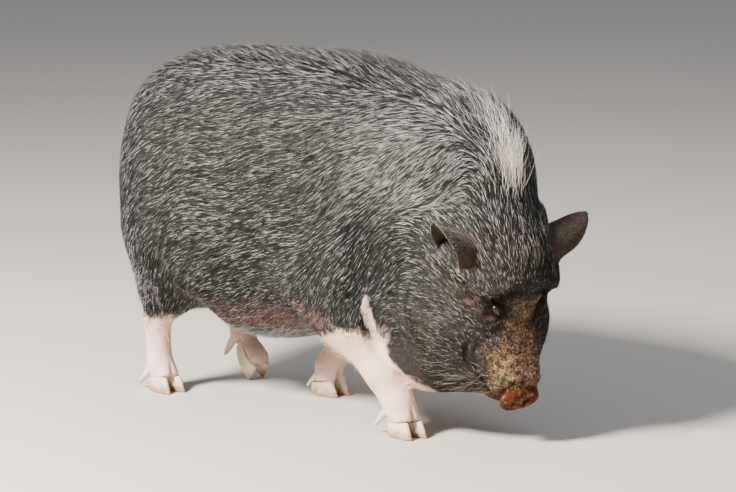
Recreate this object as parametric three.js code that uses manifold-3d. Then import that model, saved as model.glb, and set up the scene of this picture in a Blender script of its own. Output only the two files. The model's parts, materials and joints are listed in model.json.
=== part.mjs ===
// A pot-bellied pig, walking slowly with its head lowered and turned a little to its right.
// Millimetres. +X runs from tail to head, +Y to the pig's left and +Z up from the floor.
import * as THREE from "three";
import { mergeVertices } from "three/addons/utils/BufferGeometryUtils.js";
import Module from "manifold-3d";

const wasm = await Module();
wasm.setup();

// ---------------------------------------------------------------- driving dimensions
const BACK = 562; // floor to the top of the back
const BELLY = 90; // floor to the lowest point of the belly
const TRUNK_WIDTH = 404;
const TRUNK_BACK_END = -351; // the rearmost flesh, under the tail
const GAP = 0.3; // clearance between pieces that meet
const HEAD_AT = new THREE.Vector3(378, -27, 260); // centre of the skull
const HEAD_DOWN = 68; // degrees that the face points below the horizon
const HEAD_YAW = -16; // degrees to the left, so this is to the right
const SNOUT_AT = [203, 0, -16]; // middle of the snout's plate, in the head's frame
const SNOUT_TILT = 18; // degrees that the plate leans back at its upper edge
const SNOUT_SIZE = [9, 33, 26]; // half thickness, half width and half height of the plate
const EYE_AT = [71, 38, 29]; // either eye, in the head's frame
const EYE_RADIUS = 10.5;
const EAR_AT = [-6, 93, 20]; // the lower end of either ear's opening, in the head's frame
const EAR_WIDTH = 52;
const EAR_DEPTH = 56; // of the hollow at its root
const MOUTH_CORNER = [127, 50, -60];
const NECK_CUT = 278; // where the trunk ends and the neck begins

const FLESH = new THREE.MeshStandardMaterial({ color: 0x2f3030, roughness: 0.75 });
const PALE_FLESH = new THREE.MeshStandardMaterial({ color: 0xe6c9b6, roughness: 0.7 });
const EAR_FLESH = new THREE.MeshStandardMaterial({ color: 0x3a3633, roughness: 0.65 });
const SNOUT_FLESH = new THREE.MeshStandardMaterial({ color: 0xa9644a, roughness: 0.6 });
const HORN = new THREE.MeshStandardMaterial({ color: 0xc9a084, roughness: 0.5 });
const EYE = new THREE.MeshStandardMaterial({ color: 0x120c0a, roughness: 0.1 });

const RAD = Math.PI / 180;
const SIDES = { right: -1, left: 1 };

// ---------------------------------------------------------------- distance fields
// A field is a function of x, y, z: about the distance to a surface, negative inside.
const { max, min, abs, hypot, sin, cos, PI } = Math;

const clamp = (v, low, high) => min(max(v, low), high);

// Two fields melted together over a width of `melt`.
function melted(a, b, melt) {
  const h = max(melt - abs(a - b), 0) / melt;
  return min(a, b) - h * h * melt * 0.25;
}

// A rounded mass with half-sizes a, b, c, turned by degrees about its own X, Y and Z.
function mass([x0, y0, z0], [a, b, c], turn = [0, 0, 0]) {
  const m = new THREE.Matrix4()
    .makeRotationFromEuler(new THREE.Euler(...turn.map((t) => t * RAD), "ZYX"))
    .transpose().elements;
  return (x, y, z) => {
    const [dx, dy, dz] = [x - x0, y - y0, z - z0];
    const px = m[0] * dx + m[4] * dy + m[8] * dz;
    const py = m[1] * dx + m[5] * dy + m[9] * dz;
    const pz = m[2] * dx + m[6] * dy + m[10] * dz;
    const k0 = hypot(px / a, py / b, pz / c);
    const k1 = hypot(px / (a * a), py / (b * b), pz / (c * c));
    return k1 > 0 ? (k0 * (k0 - 1)) / k1 : -min(a, b, c);
  };
}

// A limb segment between two points, with the radius r1 at the first and r2 at the second.
function limb([ax, ay, az], [bx, by, bz], r1, r2) {
  const [dx, dy, dz] = [bx - ax, by - ay, bz - az];
  const dd = dx * dx + dy * dy + dz * dz;
  return (x, y, z) => {
    const t = clamp(((x - ax) * dx + (y - ay) * dy + (z - az) * dz) / dd, 0, 1);
    return hypot(x - ax - t * dx, y - ay - t * dy, z - az - t * dz) - (r1 + (r2 - r1) * t);
  };
}

// All the shapes of a list [shape, melt], melted one after the other.
function joined(list) {
  return (x, y, z) => {
    let d = list[0][0](x, y, z);
    for (let i = 1; i < list.length; i++) d = melted(d, list[i][0](x, y, z), list[i][1]);
    return d;
  };
}

// The field in the frame of a matrix: the shapes are given in the local frame.
function placed(field, matrix) {
  const m = matrix.clone().invert().elements;
  return (x, y, z) =>
    field(
      m[0] * x + m[4] * y + m[8] * z + m[12],
      m[1] * x + m[5] * y + m[9] * z + m[13],
      m[2] * x + m[6] * y + m[10] * z + m[14],
    );
}

const grown = (field, by) => (x, y, z) => field(x, y, z) - by;
const cut = (field, tool, melt) => (x, y, z) => -melted(-field(x, y, z), tool(x, y, z), melt);

// ---------------------------------------------------------------- the torso
const trunkHeight = BACK - BELLY;
const trunkMiddle = (BACK + BELLY) / 2;

function torsoField() {
  const shapes = [
    [mass([-70, 0, trunkMiddle], [272, TRUNK_WIDTH / 2, trunkHeight / 2]), 0],
    [mass([TRUNK_BACK_END + 145, 0, 385], [145, 146, 158]), 50],
    [mass([110, 0, 352], [190, 172, 207]), 70],
    [mass([262, -8, 356], [150, 140, 172], [0, 20, 0]), 70],
  ];
  for (const side of Object.values(SIDES)) {
    shapes.push([mass([-196, side * 90, 280], [92, 80, 136], [0, -8, 0]), 50]);
    shapes.push([mass([150, side * 105, 265], [105, 80, 140], [0, -10, 0]), 55]);
  }
  return joined(shapes);
}

// ---------------------------------------------------------------- the head, in its own frame
// Local +X runs from the skull to the snout, +Y to the pig's left, +Z out of the forehead.
const headFrame = (() => {
  const pitch = HEAD_DOWN * RAD;
  const yaw = HEAD_YAW * RAD;
  const face = new THREE.Vector3(cos(pitch) * cos(yaw), cos(pitch) * sin(yaw), -sin(pitch));
  const left = new THREE.Vector3(-sin(yaw), cos(yaw), 0);
  const brow = new THREE.Vector3().crossVectors(face, left);
  return new THREE.Matrix4().makeBasis(face, left, brow).setPosition(HEAD_AT);
})();

const [snoutX, , snoutZ] = SNOUT_AT;

function headField() {
  const shapes = [
    [mass([-6, 0, -2], [98, 93, 85]), 0], // skull
    [mass([24, 0, 42], [47, 63, 37]), 22], // forehead, hanging over the eyes
    [limb([70, 0, -14], [snoutX - 36, 0, -16], 48, 33), 26], // bridge of the nose
    [limb([92, 0, -44], [snoutX - 44, 0, -40], 56, 40), 20], // upper lip and jaw
    [limb([100, 0, -74], [snoutX - 54, 0, -62], 38, 24), 16], // chin
  ];
  for (const side of Object.values(SIDES)) {
    shapes.push([mass([62, side * 58, -42], [52, 36, 46]), 24]); // cheek
    shapes.push([mass([84, side * 62, -78], [60, 46, 56]), 26]); // jowl by the mouth
    shapes.push([limb([104, side * 18, 2], [snoutX - 30, side * 13, -8], 22, 20), 16]);
    shapes.push([mass([130, side * 41, -52], [40, 31, 35]), 14]); // upper lip
  }
  let head = joined(shapes);
  for (const side of Object.values(SIDES)) // the hollow of each eye, under the brow
    head = cut(head, mass([82, side * 36, 46], [17, 21, 20], [0, 10, 0]), 10);
  return head;
}

// Fat under the throat and behind the jaw, in the pig's own frame.
const THROAT = {
  right: [mass([294, -76, 158], [122, 64, 92], [0, -10, 0]), 45],
  left: [mass([296, 22, 164], [104, 60, 88], [0, -12, 0]), 45],
};

// ---------------------------------------------------------------- legs
// A chain of joints from the body to the foot, each with its radius. The foot stands at `foot`,
// turned by `yaw` and with its heel raised by `heel` degrees.
const LEGS = {
  fore_right: {
    chain: [[136, -112, 235, 78], [190, -116, 162, 50], [234, -112, 94, 29], [260, -110, 50, 25]],
    foot: [280, -112], yaw: -14, heel: 0,
  },
  fore_left: {
    chain: [[120, 108, 235, 78], [72, 90, 160, 48], [24, 62, 92, 28], [-6, 50, 48, 24]],
    foot: [0, 48], yaw: -6, heel: 0,
  },
  hind_right: {
    chain: [[-205, -105, 250, 74], [-222, -106, 165, 42], [-236, -103, 114, 22], [-234, -100, 46, 22]],
    foot: [-218, -100], yaw: -14, heel: 0,
  },
  hind_left: {
    chain: [[-190, 102, 250, 74], [-208, 92, 165, 42], [-226, 76, 128, 24], [-204, 66, 72, 21]],
    foot: [-186, 64], yaw: -6, heel: 58,
  },
};
const CLAW = { length: 64, width: 24.5, apart: 12, splay: 4, height: 27, heel: 18 };

// The frame of a foot: its origin is under the middle of the claws, +X points to the toes.
function footFrame(leg) {
  const turn = new THREE.Euler(0, leg.heel * RAD, leg.yaw * RAD, "ZYX");
  const lift = leg.heel ? sin(leg.heel * RAD) * CLAW.length * 0.48 - 3 : 0;
  return new THREE.Matrix4().makeRotationFromEuler(turn).setPosition(...leg.foot, lift);
}

function legField(leg) {
  const shapes = [];
  for (let i = 1; i < leg.chain.length; i++) {
    const [from, to] = [leg.chain[i - 1], leg.chain[i]];
    shapes.push([limb(from, to, from[3], to[3]), 14]);
  }
  const frame = footFrame(leg);
  for (const side of [-1, 1]) {
    const toe = new THREE.Vector3(2, side * (CLAW.apart - 1), 18).applyMatrix4(frame);
    const end = leg.chain[leg.chain.length - 1];
    shapes.push([limb(end, toe.toArray(), end[3] - 4, 13.5), 10]);
  }
  const bulk = leg.heel ? mass([-8, 0, 20], [22, 21, 16]) : mass([-8, 0, 26], [23, 21.5, 20]);
  shapes.push([placed(bulk, frame), 10]);
  return joined(shapes);
}

// ---------------------------------------------------------------- meshing
// A closed mesh of the field inside the box low..high, by surface nets with a cell of about `cell`,
// whose points are then slid along the surface so that the faces are even.
function netOf(field, low, high, cell) {
  const count = low.map((l, i) => Math.ceil((high[i] - l) / cell) + 3);
  const [nx, ny, nz] = count;
  const at = (i, axis) => low[axis] + (i - 1) * cell;
  const inBox = (x, y, z) =>
    max(field(x, y, z), low[0] - x, x - high[0], low[1] - y, y - high[1], low[2] - z, z - high[2]);
  const values = new Float64Array(nx * ny * nz);
  const id = (i, j, k) => (k * ny + j) * nx + i;
  for (let k = 0; k < nz; k++)
    for (let j = 0; j < ny; j++)
      for (let i = 0; i < nx; i++) values[id(i, j, k)] = inBox(at(i, 0), at(j, 1), at(k, 2)) || 1e-9;
  const points = [];
  const cellPoint = new Map();
  const corner = [0, 1, 2, 3, 4, 5, 6, 7].map((c) => [c & 1, (c >> 1) & 1, (c >> 2) & 1]);
  const edges = [];
  for (let a = 0; a < 8; a++) for (const bit of [1, 2, 4]) if (!(a & bit)) edges.push([a, a | bit]);
  for (let k = 0; k < nz - 1; k++)
    for (let j = 0; j < ny - 1; j++)
      for (let i = 0; i < nx - 1; i++) {
        const v = corner.map(([a, b, c]) => values[id(i + a, j + b, k + c)]);
        if (v.every((q) => q > 0) || v.every((q) => q < 0)) continue;
        const sum = [0, 0, 0];
        let n = 0;
        for (const [a, b] of edges) {
          if (v[a] > 0 === v[b] > 0) continue;
          const t = v[a] / (v[a] - v[b]);
          for (let q = 0; q < 3; q++) sum[q] += corner[a][q] + t * (corner[b][q] - corner[a][q]);
          n++;
        }
        cellPoint.set(id(i, j, k), points.length);
        points.push([at(i + sum[0] / n, 0), at(j + sum[1] / n, 1), at(k + sum[2] / n, 2)]);
      }
  const faces = [];
  const steps = [id(1, 0, 0), id(0, 1, 0), id(0, 0, 1)];
  for (let k = 1; k < nz - 1; k++)
    for (let j = 1; j < ny - 1; j++)
      for (let i = 1; i < nx - 1; i++) {
        const here = id(i, j, k);
        for (let axis = 0; axis < 3; axis++) {
          const [a, b] = [values[here], values[here + steps[axis]]];
          if (a > 0 === b > 0) continue;
          const u = steps[(axis + 1) % 3];
          const w = steps[(axis + 2) % 3];
          const quad = [here, here - u, here - u - w, here - w].map((c) => cellPoint.get(c));
          if (a > 0) quad.reverse();
          const [p, q, r, s] = quad.map((c) => points[c]);
          const across = (m, n) => hypot(m[0] - n[0], m[1] - n[1], m[2] - n[2]);
          if (across(p, r) < across(q, s))
            faces.push([quad[0], quad[1], quad[2]], [quad[0], quad[2], quad[3]]);
          else faces.push([quad[1], quad[2], quad[3]], [quad[1], quad[3], quad[0]]);
        }
      }
  relax(points, faces, inBox, cell);
  return { points, faces };
}

// Moves each point towards its neighbours' middle and back onto the surface, a few times over.
function relax(points, faces, field, cell) {
  const near = points.map(() => new Set());
  for (const [a, b, c] of faces) {
    near[a].add(b).add(c);
    near[b].add(a).add(c);
    near[c].add(a).add(b);
  }
  const e = cell * 0.02;
  for (let round = 0; round < 4; round++) {
    const moved = points.map((p, i) => {
      const m = [0, 0, 0];
      for (const n of near[i]) for (let q = 0; q < 3; q++) m[q] += points[n][q] / near[i].size;
      const out = p.map((v, q) => v + (m[q] - v) * 0.5);
      for (let turn = 0; turn < 3; turn++) {
        const d = field(...out);
        const g = [0, 1, 2].map((q) => {
          const s = [...out];
          s[q] += e;
          return (field(...s) - d) / e;
        });
        const gg = g[0] * g[0] + g[1] * g[1] + g[2] * g[2] || 1;
        const step = clamp(d / gg, -cell * 0.5, cell * 0.5);
        for (let q = 0; q < 3; q++) out[q] -= step * g[q];
      }
      return out;
    });
    moved.forEach((p, i) => (points[i] = p));
  }
}

const solidOfNet = ({ points, faces }) =>
  new wasm.Manifold(
    new wasm.Mesh({
      numProp: 3,
      vertProperties: new Float32Array(points.flat()),
      triVerts: new Uint32Array(faces.flat()),
    }),
  );

// The meshed field, with small faces merged where that moves the surface by under `simpler`.
const meshed = (field, low, high, cell, simpler = 0.9) =>
  solidOfNet(netOf(field, low, high, cell)).simplify(simpler);

// The same solid with every point pushed outwards by `by`, for cutting a clearance.
function swollen(solid, by) {
  const { vertProperties, triVerts, numProp } = solid.getMesh();
  const geometry = new THREE.BufferGeometry()
    .setAttribute("position", new THREE.BufferAttribute(new Float32Array(vertProperties), numProp))
    .setIndex(new THREE.BufferAttribute(new Uint32Array(triVerts), 1));
  geometry.computeVertexNormals();
  const n = geometry.attributes.normal.array;
  const points = [];
  for (let i = 0; i < n.length; i++) points.push(vertProperties[i] + n[i] * by);
  return new wasm.Manifold(
    new wasm.Mesh({ numProp: 3, vertProperties: new Float32Array(points), triVerts }),
  );
}

// A closed solid from rings of points, all with the same even count. The end rings are closed by
// rungs between their first half and their second, as those of a leaf's two sides.
function lofted(rings) {
  const count = rings[0].length;
  const points = rings.flat(2);
  const faces = [];
  for (let r = 0; r + 1 < rings.length; r++)
    for (let i = 0; i < count; i++) {
      const [a, b] = [r * count + i, r * count + ((i + 1) % count)];
      faces.push([a, b, b + count], [a, b + count, a + count]);
    }
  const last = (rings.length - 1) * count;
  for (let i = 0; i + 1 < count / 2; i++) {
    const [a, b, c, d] = [i, i + 1, count - 2 - i, count - 1 - i];
    faces.push([a, c, b], [a, d, c]);
    faces.push([last + a, last + b, last + c], [last + a, last + c, last + d]);
  }
  return new wasm.Manifold(
    new wasm.Mesh({
      numProp: 3,
      vertProperties: new Float32Array(points),
      triVerts: new Uint32Array(faces.flat()),
    }),
  );
}

const box = ([x0, y0, z0], [x1, y1, z1]) =>
  wasm.Manifold.cube([x1 - x0, y1 - y0, z1 - z0]).translate([x0, y0, z0]);
const moved = (solid, matrix) => solid.transform([...matrix.elements]);
// The largest body of a solid, without any crumbs that a cut has left beside it.
const largest = (solid) =>
  solid.decompose().reduce((a, b) => (a.volume() > b.volume() ? a : b));

// ---------------------------------------------------------------- flesh
const torso = torsoField();
const head = placed(headField(), headFrame);
const legs = Object.fromEntries(Object.entries(LEGS).map(([n, leg]) => [n, legField(leg)]));

const legged = (x, y, z) => {
  let d = torso(x, y, z);
  for (const f of Object.values(legs)) d = melted(d, f(x, y, z), 34);
  return d;
};
// The head and throat with the torso; the throat hangs beside the right foreleg, just clear of it.
const front = joined([[torso, 0], [head, 60], THROAT.right, THROAT.left]);
const whole = (x, y, z) => min(front(x, y, z), legged(x, y, z));
let face = cut(front, grown(legs.fore_right, 3), 6);
for (const side of Object.values(SIDES)) {
  const [x, y, z] = EYE_AT;
  face = cut(face, placed(mass([x + 2, side * (y + 9), z + 11], [14, 13, 12]), headFrame), 12);
}

// Boxes that share the flesh out between the pieces; `gap` makes one larger on every side.
const FAR = 900;
const span = (x, y, z, gap = 0) =>
  box([x[0] - gap, y[0] - gap, z[0] - gap], [x[1] + gap, y[1] + gap, z[1] + gap]);
const outward = (side, near, far = FAR) => (side < 0 ? [-far, -near] : [near, far]);

const UPPER = {
  shoulder: { x: [48, NECK_CUT], near: 48, z: [100, 262], cell: 20 },
  ham: { x: [-FAR, -122], near: 40, z: [105, 300], cell: 18 },
};
const LOWER = {
  fore_right: { x: [140, 420], y: [-200, -48], top: 100 },
  fore_left: { x: [-48, 105], y: [20, 130], top: 96 },
  hind_right: { x: [-330, -122], y: [-200, -30], top: 105 },
  hind_left: { x: [-330, -90], y: [20, 200], top: 105 },
};

const parts = {};
let trunk = meshed(whole, [-420, -260, 30], [NECK_CUT + 40, 260, 600], 31).subtract(
  span([NECK_CUT, FAR], [-FAR, FAR], [-FAR, FAR]),
);
for (const [sideName, side] of Object.entries(SIDES))
  for (const [name, { x, near, z, cell }] of Object.entries(UPPER)) {
    const y = outward(side, near);
    trunk = trunk.subtract(span(x, y, z, GAP));
    const low = [max(x[0], -420) - 25, max(y[0] - 25, -260), z[0] - 25];
    const high = [x[1] + 25, min(y[1] + 25, 260), z[1] + 25];
    parts[`${name}_${sideName}`] = meshed(whole, low, high, cell).intersect(span(x, y, z));
  }
for (const [name, { x, y, top }] of Object.entries(LOWER)) {
  const ends = [x, y, [-FAR, top - GAP]];
  trunk = trunk.subtract(span(x, y, [-FAR, top - GAP], GAP));
  for (const upper of Object.keys(UPPER).flatMap((n) => [`${n}_right`, `${n}_left`]))
    parts[upper] = parts[upper].subtract(span(...ends, GAP));
  parts[`leg_${name}`] = meshed(legged, [x[0], y[0], -4], [x[1], y[1], top + 14], 12, 0.4)
    .intersect(span(...ends));
}
parts.trunk = trunk;

// The head is parted from the neck by a plane from the poll down behind the jaw.
const pollTurn = new THREE.Matrix4().makeRotationY(25.7 * RAD).setPosition(370, 0, 340);
const neckSlab = span([NECK_CUT + GAP, FAR], [-FAR, FAR], [-FAR, FAR]);
const headSlab = moved(span([GAP, FAR], [-FAR, FAR], [-FAR, FAR]), pollTurn);
const behindHead = moved(span([-FAR, 0], [-FAR, FAR], [-FAR, FAR]), pollTurn);
const { x: footX, y: footY, top: footTop } = LOWER.fore_right;
const besideLeg = span([footX[0], NECK_CUT + 1], footY, [-FAR, footTop - GAP]);
parts.neck = meshed(face, [220, -230, 30], [480, 200, 580], 21)
  .intersect(neckSlab)
  .intersect(behindHead);
let headSolid = meshed(face, [140, -230, 10], [560, 200, 470], 15).intersect(
  headSlab.intersect(neckSlab).add(besideLeg),
);

// ---------------------------------------------------------------- snout, jaw, eyes and ears
// A frame in the head's frame: at a point, turned by degrees about its own X, Y and Z.
const inHead = (point, turn = [0, 0, 0]) =>
  headFrame.clone().multiply(
    new THREE.Matrix4()
      .makeRotationFromEuler(new THREE.Euler(...turn.map((t) => t * RAD), "ZYX"))
      .setPosition(...point),
  );

const plateFrame = inHead(SNOUT_AT, [0, -SNOUT_TILT, 0]);
const [plateThick, plateWide, plateHigh] = SNOUT_SIZE;
function plateField(x, y, z) {
  const round = hypot(y / plateWide, z / plateHigh);
  const rim = (round - 1) * plateHigh;
  const flat = abs(x + plateThick / 2) - plateThick;
  return hypot(max(rim + 5, 0), max(flat + 5, 0)) + min(max(rim + 5, flat + 5), 0) - 5;
}
let plate = plateField;
for (const side of [-1, 1])
  plate = cut(plate, mass([5, side * 12.5, -1], [9, 5.5, 8], [side * 20, 0, 0]), 2);
const plateSolid = moved(
  meshed(plate, [-20, -45, -40], [16, 45, 40], 5.8, 0.4)
    .intersect(span([-8, FAR], [-FAR, FAR], [-FAR, FAR])),
  plateFrame,
);
headSolid = headSolid.subtract(moved(span([-8 - GAP, 120], [-90, 90], [-110, 90]), plateFrame));

// The lower jaw: the flesh in front of the mouth's corner and below the line of the lips.
const [mouthX, , mouthZ] = MOUTH_CORNER;
const jawFrame = inHead([mouthX, 0, mouthZ], [0, -9, 0]);
const jawBox = (gap) => moved(span([-gap, 140], [-FAR, FAR], [-130, gap]), jawFrame);
parts.jaw = headSolid.intersect(jawBox(0));
headSolid = headSolid.subtract(jawBox(GAP));

const eyes = {};
for (const [sideName, side] of Object.entries(SIDES)) {
  const [x, y, z] = EYE_AT;
  const at = inHead([x, side * y, z]);
  eyes[sideName] = moved(wasm.Manifold.sphere(EYE_RADIUS, 16), at);
  headSolid = headSolid.subtract(moved(wasm.Manifold.sphere(EYE_RADIUS + GAP * 2, 16), at));
}

// Each ear's way from its root to the tip, and the way that its hollow side looks.
const EARS = {
  right: { reach: [-55, -46, 39], facing: [0.5, -0.83, -0.25] },
  left: { reach: [-46, 50, 40], facing: [0.2, 0.9, -0.5] },
};

// An ear: a pointed funnel, nearly closed at its root and open along one side above it. With
// room, it is that much thicker all round.
function earSolid(name, room = 0) {
  const side = SIDES[name];
  const root = new THREE.Vector3(EAR_AT[0], EAR_AT[1] * side, EAR_AT[2]);
  const tip = new THREE.Vector3(...EARS[name].reach);
  const length = tip.length();
  const along = tip.normalize();
  const hollow = new THREE.Vector3(...EARS[name].facing);
  hollow.addScaledVector(along, -hollow.dot(along)).normalize();
  const across = new THREE.Vector3().crossVectors(hollow, along);
  const rings = [];
  const STEPS = 9;
  const ACROSS = 8;
  for (let i = 0; i <= STEPS; i++) {
    const way = -9 + (length + 9) * (i / STEPS) ** 0.9;
    const t = clamp(way / length, 0, 1);
    const reach = way + room * (i === 0 ? -1 : i === STEPS ? 1 : 0);
    const half = (EAR_WIDTH / 2) * (1 - t ** 2.8) ** 0.75 + 1.2;
    const open = (95 + 55 * clamp(1 - t / 0.5, 0, 1)) * RAD; // from the back round to either rim
    const deep = (EAR_DEPTH * (1 - t) ** 1.3 + 2.4) / (1 - cos(open));
    const thick = 2.6 - 1.3 * t;
    const ring = [];
    for (const skin of [1, -1])
      for (let k = 0; k <= ACROSS; k++) {
        const v = skin * (-1 + (2 * k) / ACROSS);
        const a = v * (open + room / (half + deep) * 2);
        const edge = (thick * (1 - 0.5 * v ** 4) + room) * skin;
        const p = root.clone()
          .addScaledVector(along, reach)
          .addScaledVector(across, (half + edge) * sin(a))
          .addScaledVector(hollow, deep * cos(open) - (deep + edge) * cos(a));
        ring.push(p.toArray());
      }
    rings.push(ring);
  }
  return moved(lofted(rings), headFrame);
}
for (const [sideName, side] of Object.entries(SIDES)) {
  const ear = earSolid(sideName);
  const socket = earSolid(sideName, GAP * 2);
  headSolid = headSolid.subtract(socket);
  parts.neck = parts.neck.subtract(socket);
  parts[`ear_${sideName}`] = ear;
}
parts.head = headSolid;

// ---------------------------------------------------------------- tail
const TAIL_PATH = [[-332, 0, 424], [-362, 4, 404], [-378, 12, 350], [-376, 20, 290], [-366, 26, 232]];
const tailField = joined(
  TAIL_PATH.slice(1).map((to, i) => [limb(TAIL_PATH[i], to, 15 - i * 2.4, 12.6 - i * 2.4), 4]),
);
parts.tail = meshed(tailField, [-400, -30, 215], [-310, 45, 450], 8, 0.4)
  .subtract(swollen(trunk, GAP * 2));

// ---------------------------------------------------------------- hooves
// Half of a claw's sole is drawn as a D: straight on the inner side and bowed on the outer.
function clawSolid(side, frame) {
  const { length, width, apart, splay, height, heel } = CLAW;
  const ring = (z, grow, front) => {
    const points = [];
    for (let i = 0; i < 12; i++) {
      const a = (i / 12) * 2 * PI;
      const bow = sin(a) * side > 0 ? width * 0.52 : width * 0.42;
      const x = cos(a) * length * 0.5 * (cos(a) > 0 ? front : 1) * grow - length * 0.06;
      points.push([x, sin(a) * bow * grow * (1 - 0.28 * max(cos(a), 0)), z]);
    }
    return points;
  };
  const top = ring(0, 0.92, 0.7).map(([x, y]) => [x, y, heel + ((x + 30) / 60) * (height - heel)]);
  const sole = wasm.Manifold.hull([...ring(0, 1, 1.08), ...top]);
  const place = new THREE.Matrix4()
    .makeRotationZ(side * splay * RAD)
    .setPosition(0, side * apart, 0);
  return moved(sole, frame.clone().multiply(place));
}
function dewclawSolid(side, leg) {
  const fetlock = leg.chain[leg.chain.length - 1];
  const at = new THREE.Matrix4().makeRotationZ(leg.yaw * RAD).setPosition(...fetlock.slice(0, 3));
  const root = new THREE.Vector3(-10, side * 13, -14);
  const tip = new THREE.Vector3(leg.heel ? -22 : -31, side * 19, -38);
  const along = tip.clone().sub(root);
  const up = new THREE.Vector3(0, 0, 1);
  const turn = new THREE.Quaternion().setFromUnitVectors(up, along.clone().normalize());
  const place = new THREE.Matrix4().makeRotationFromQuaternion(turn).setPosition(root);
  return moved(wasm.Manifold.cylinder(along.length(), 8, 3.4, 8), at.multiply(place));
}
const aboveFloor = span([-FAR, FAR], [-FAR, FAR], [0, FAR]);
for (const [name, leg] of Object.entries(LEGS)) {
  const frame = footFrame(leg);
  const slope = Math.atan2(CLAW.height - CLAW.heel, 60);
  const coronet = frame.clone().multiply(
    new THREE.Matrix4().makeRotationY(-slope).setPosition(-30, 0, CLAW.heel),
  );
  const below = moved(span([-9, 110], [-60, 60], [-60, GAP * 1.5]), coronet);
  const claws = { outer: name.endsWith("right") ? -1 : 1, inner: name.endsWith("right") ? 1 : -1 };
  let flesh = parts[`leg_${name}`].subtract(below);
  for (const [where, side] of Object.entries(claws)) {
    const hoof = clawSolid(side, frame).intersect(aboveFloor);
    const dewclaw = dewclawSolid(side, leg).subtract(swollen(hoof, GAP * 2));
    flesh = flesh.subtract(swollen(dewclaw, GAP * 3));
    parts[`hoof_${name}_${where}`] = hoof;
    parts[`dewclaw_${name}_${where}`] = dewclaw;
  }
  parts[`leg_${name}`] = flesh;
}

// ---------------------------------------------------------------- assembly
const pieces = [];
const dark = ["trunk", "neck", "head", "jaw", "tail"];
const uppers = ["shoulder_right", "shoulder_left", "ham_right", "ham_left"];
for (const name of [...dark, ...uppers]) pieces.push([name, parts[name], FLESH]);
for (const name of Object.keys(LEGS)) pieces.push([`leg_${name}`, parts[`leg_${name}`], PALE_FLESH]);
pieces.push(["snout_plate", plateSolid, SNOUT_FLESH]);
for (const side of Object.keys(SIDES)) {
  pieces.push([`ear_${side}`, parts[`ear_${side}`], EAR_FLESH]);
  pieces.push([`eye_${side}`, eyes[side], EYE]);
}
for (const name of Object.keys(parts))
  if (name.startsWith("hoof") || name.startsWith("dewclaw")) pieces.push([name, parts[name], HORN]);

// The origin is on the floor, under the middle of the bounding box.
const bounds = new THREE.Box3();
for (const [, solid] of pieces) {
  const { min: low, max: high } = solid.boundingBox();
  bounds.expandByPoint(new THREE.Vector3(...low)).expandByPoint(new THREE.Vector3(...high));
}
const middle = bounds.getCenter(new THREE.Vector3());

const geometryOf = ({ vertProperties, triVerts }) =>
  new THREE.BufferGeometry()
    .setAttribute("position", new THREE.BufferAttribute(new Float32Array(vertProperties), 3))
    .setIndex(new THREE.BufferAttribute(new Uint32Array(triVerts), 1));

// Cuts leave slivers along their edges: merges what is closer than a hundredth of a millimetre,
// nips off any place where the surface touches itself and keeps the main body of what that leaves.
const NIP = 0.9;
function cleaned(solid) {
  let body = largest(solid.simplify(0.1));
  for (let round = 0; round < 6; round++) {
    const merged = mergeVertices(geometryOf(body.getMesh()), 0.01);
    const index = merged.index.array;
    const vertProperties = merged.attributes.position.array;
    const triVerts = [];
    const uses = new Map();
    for (let i = 0; i < index.length; i += 3) {
      const face = [index[i], index[i + 1], index[i + 2]];
      if (new Set(face).size < 3) continue;
      triVerts.push(...face);
      for (let k = 0; k < 3; k++) {
        const edge = [face[k], face[(k + 1) % 3]].sort((p, q) => p - q).join();
        uses.set(edge, (uses.get(edge) || 0) + 1);
      }
    }
    const touching = new Set();
    for (const [edge, count] of uses)
      if (count !== 2) for (const v of edge.split(",")) touching.add(+v);
    if (!touching.size) {
      const triangles = new Uint32Array(triVerts);
      return new wasm.Manifold(new wasm.Mesh({ numProp: 3, vertProperties, triVerts: triangles }));
    }
    for (const v of touching)
      body = body.subtract(
        wasm.Manifold.cube([NIP, NIP, NIP], true).translate([...vertProperties.slice(v * 3, v * 3 + 3)]),
      );
    body = largest(body.simplify(0.1));
  }
  throw new Error("a surface still touches itself");
}

const pig = new THREE.Group();
for (const [name, solid, material] of pieces) {
  const centred = solid.translate([-middle.x, -middle.y, -bounds.min.z]);
  const geometry = geometryOf(cleaned(centred).getMesh());
  geometry.computeVertexNormals();
  const mesh = new THREE.Mesh(geometry, material);
  mesh.name = name;
  pig.add(mesh);
}

export default pig;
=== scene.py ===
"""A life-size pot-bellied pig: skin, coat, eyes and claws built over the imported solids, in metres."""

import json
import math

import bpy
import numpy as np
from bpy.props import FloatProperty, FloatVectorProperty, IntProperty, PointerProperty
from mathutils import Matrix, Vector
from mathutils.kdtree import KDTree

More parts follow.
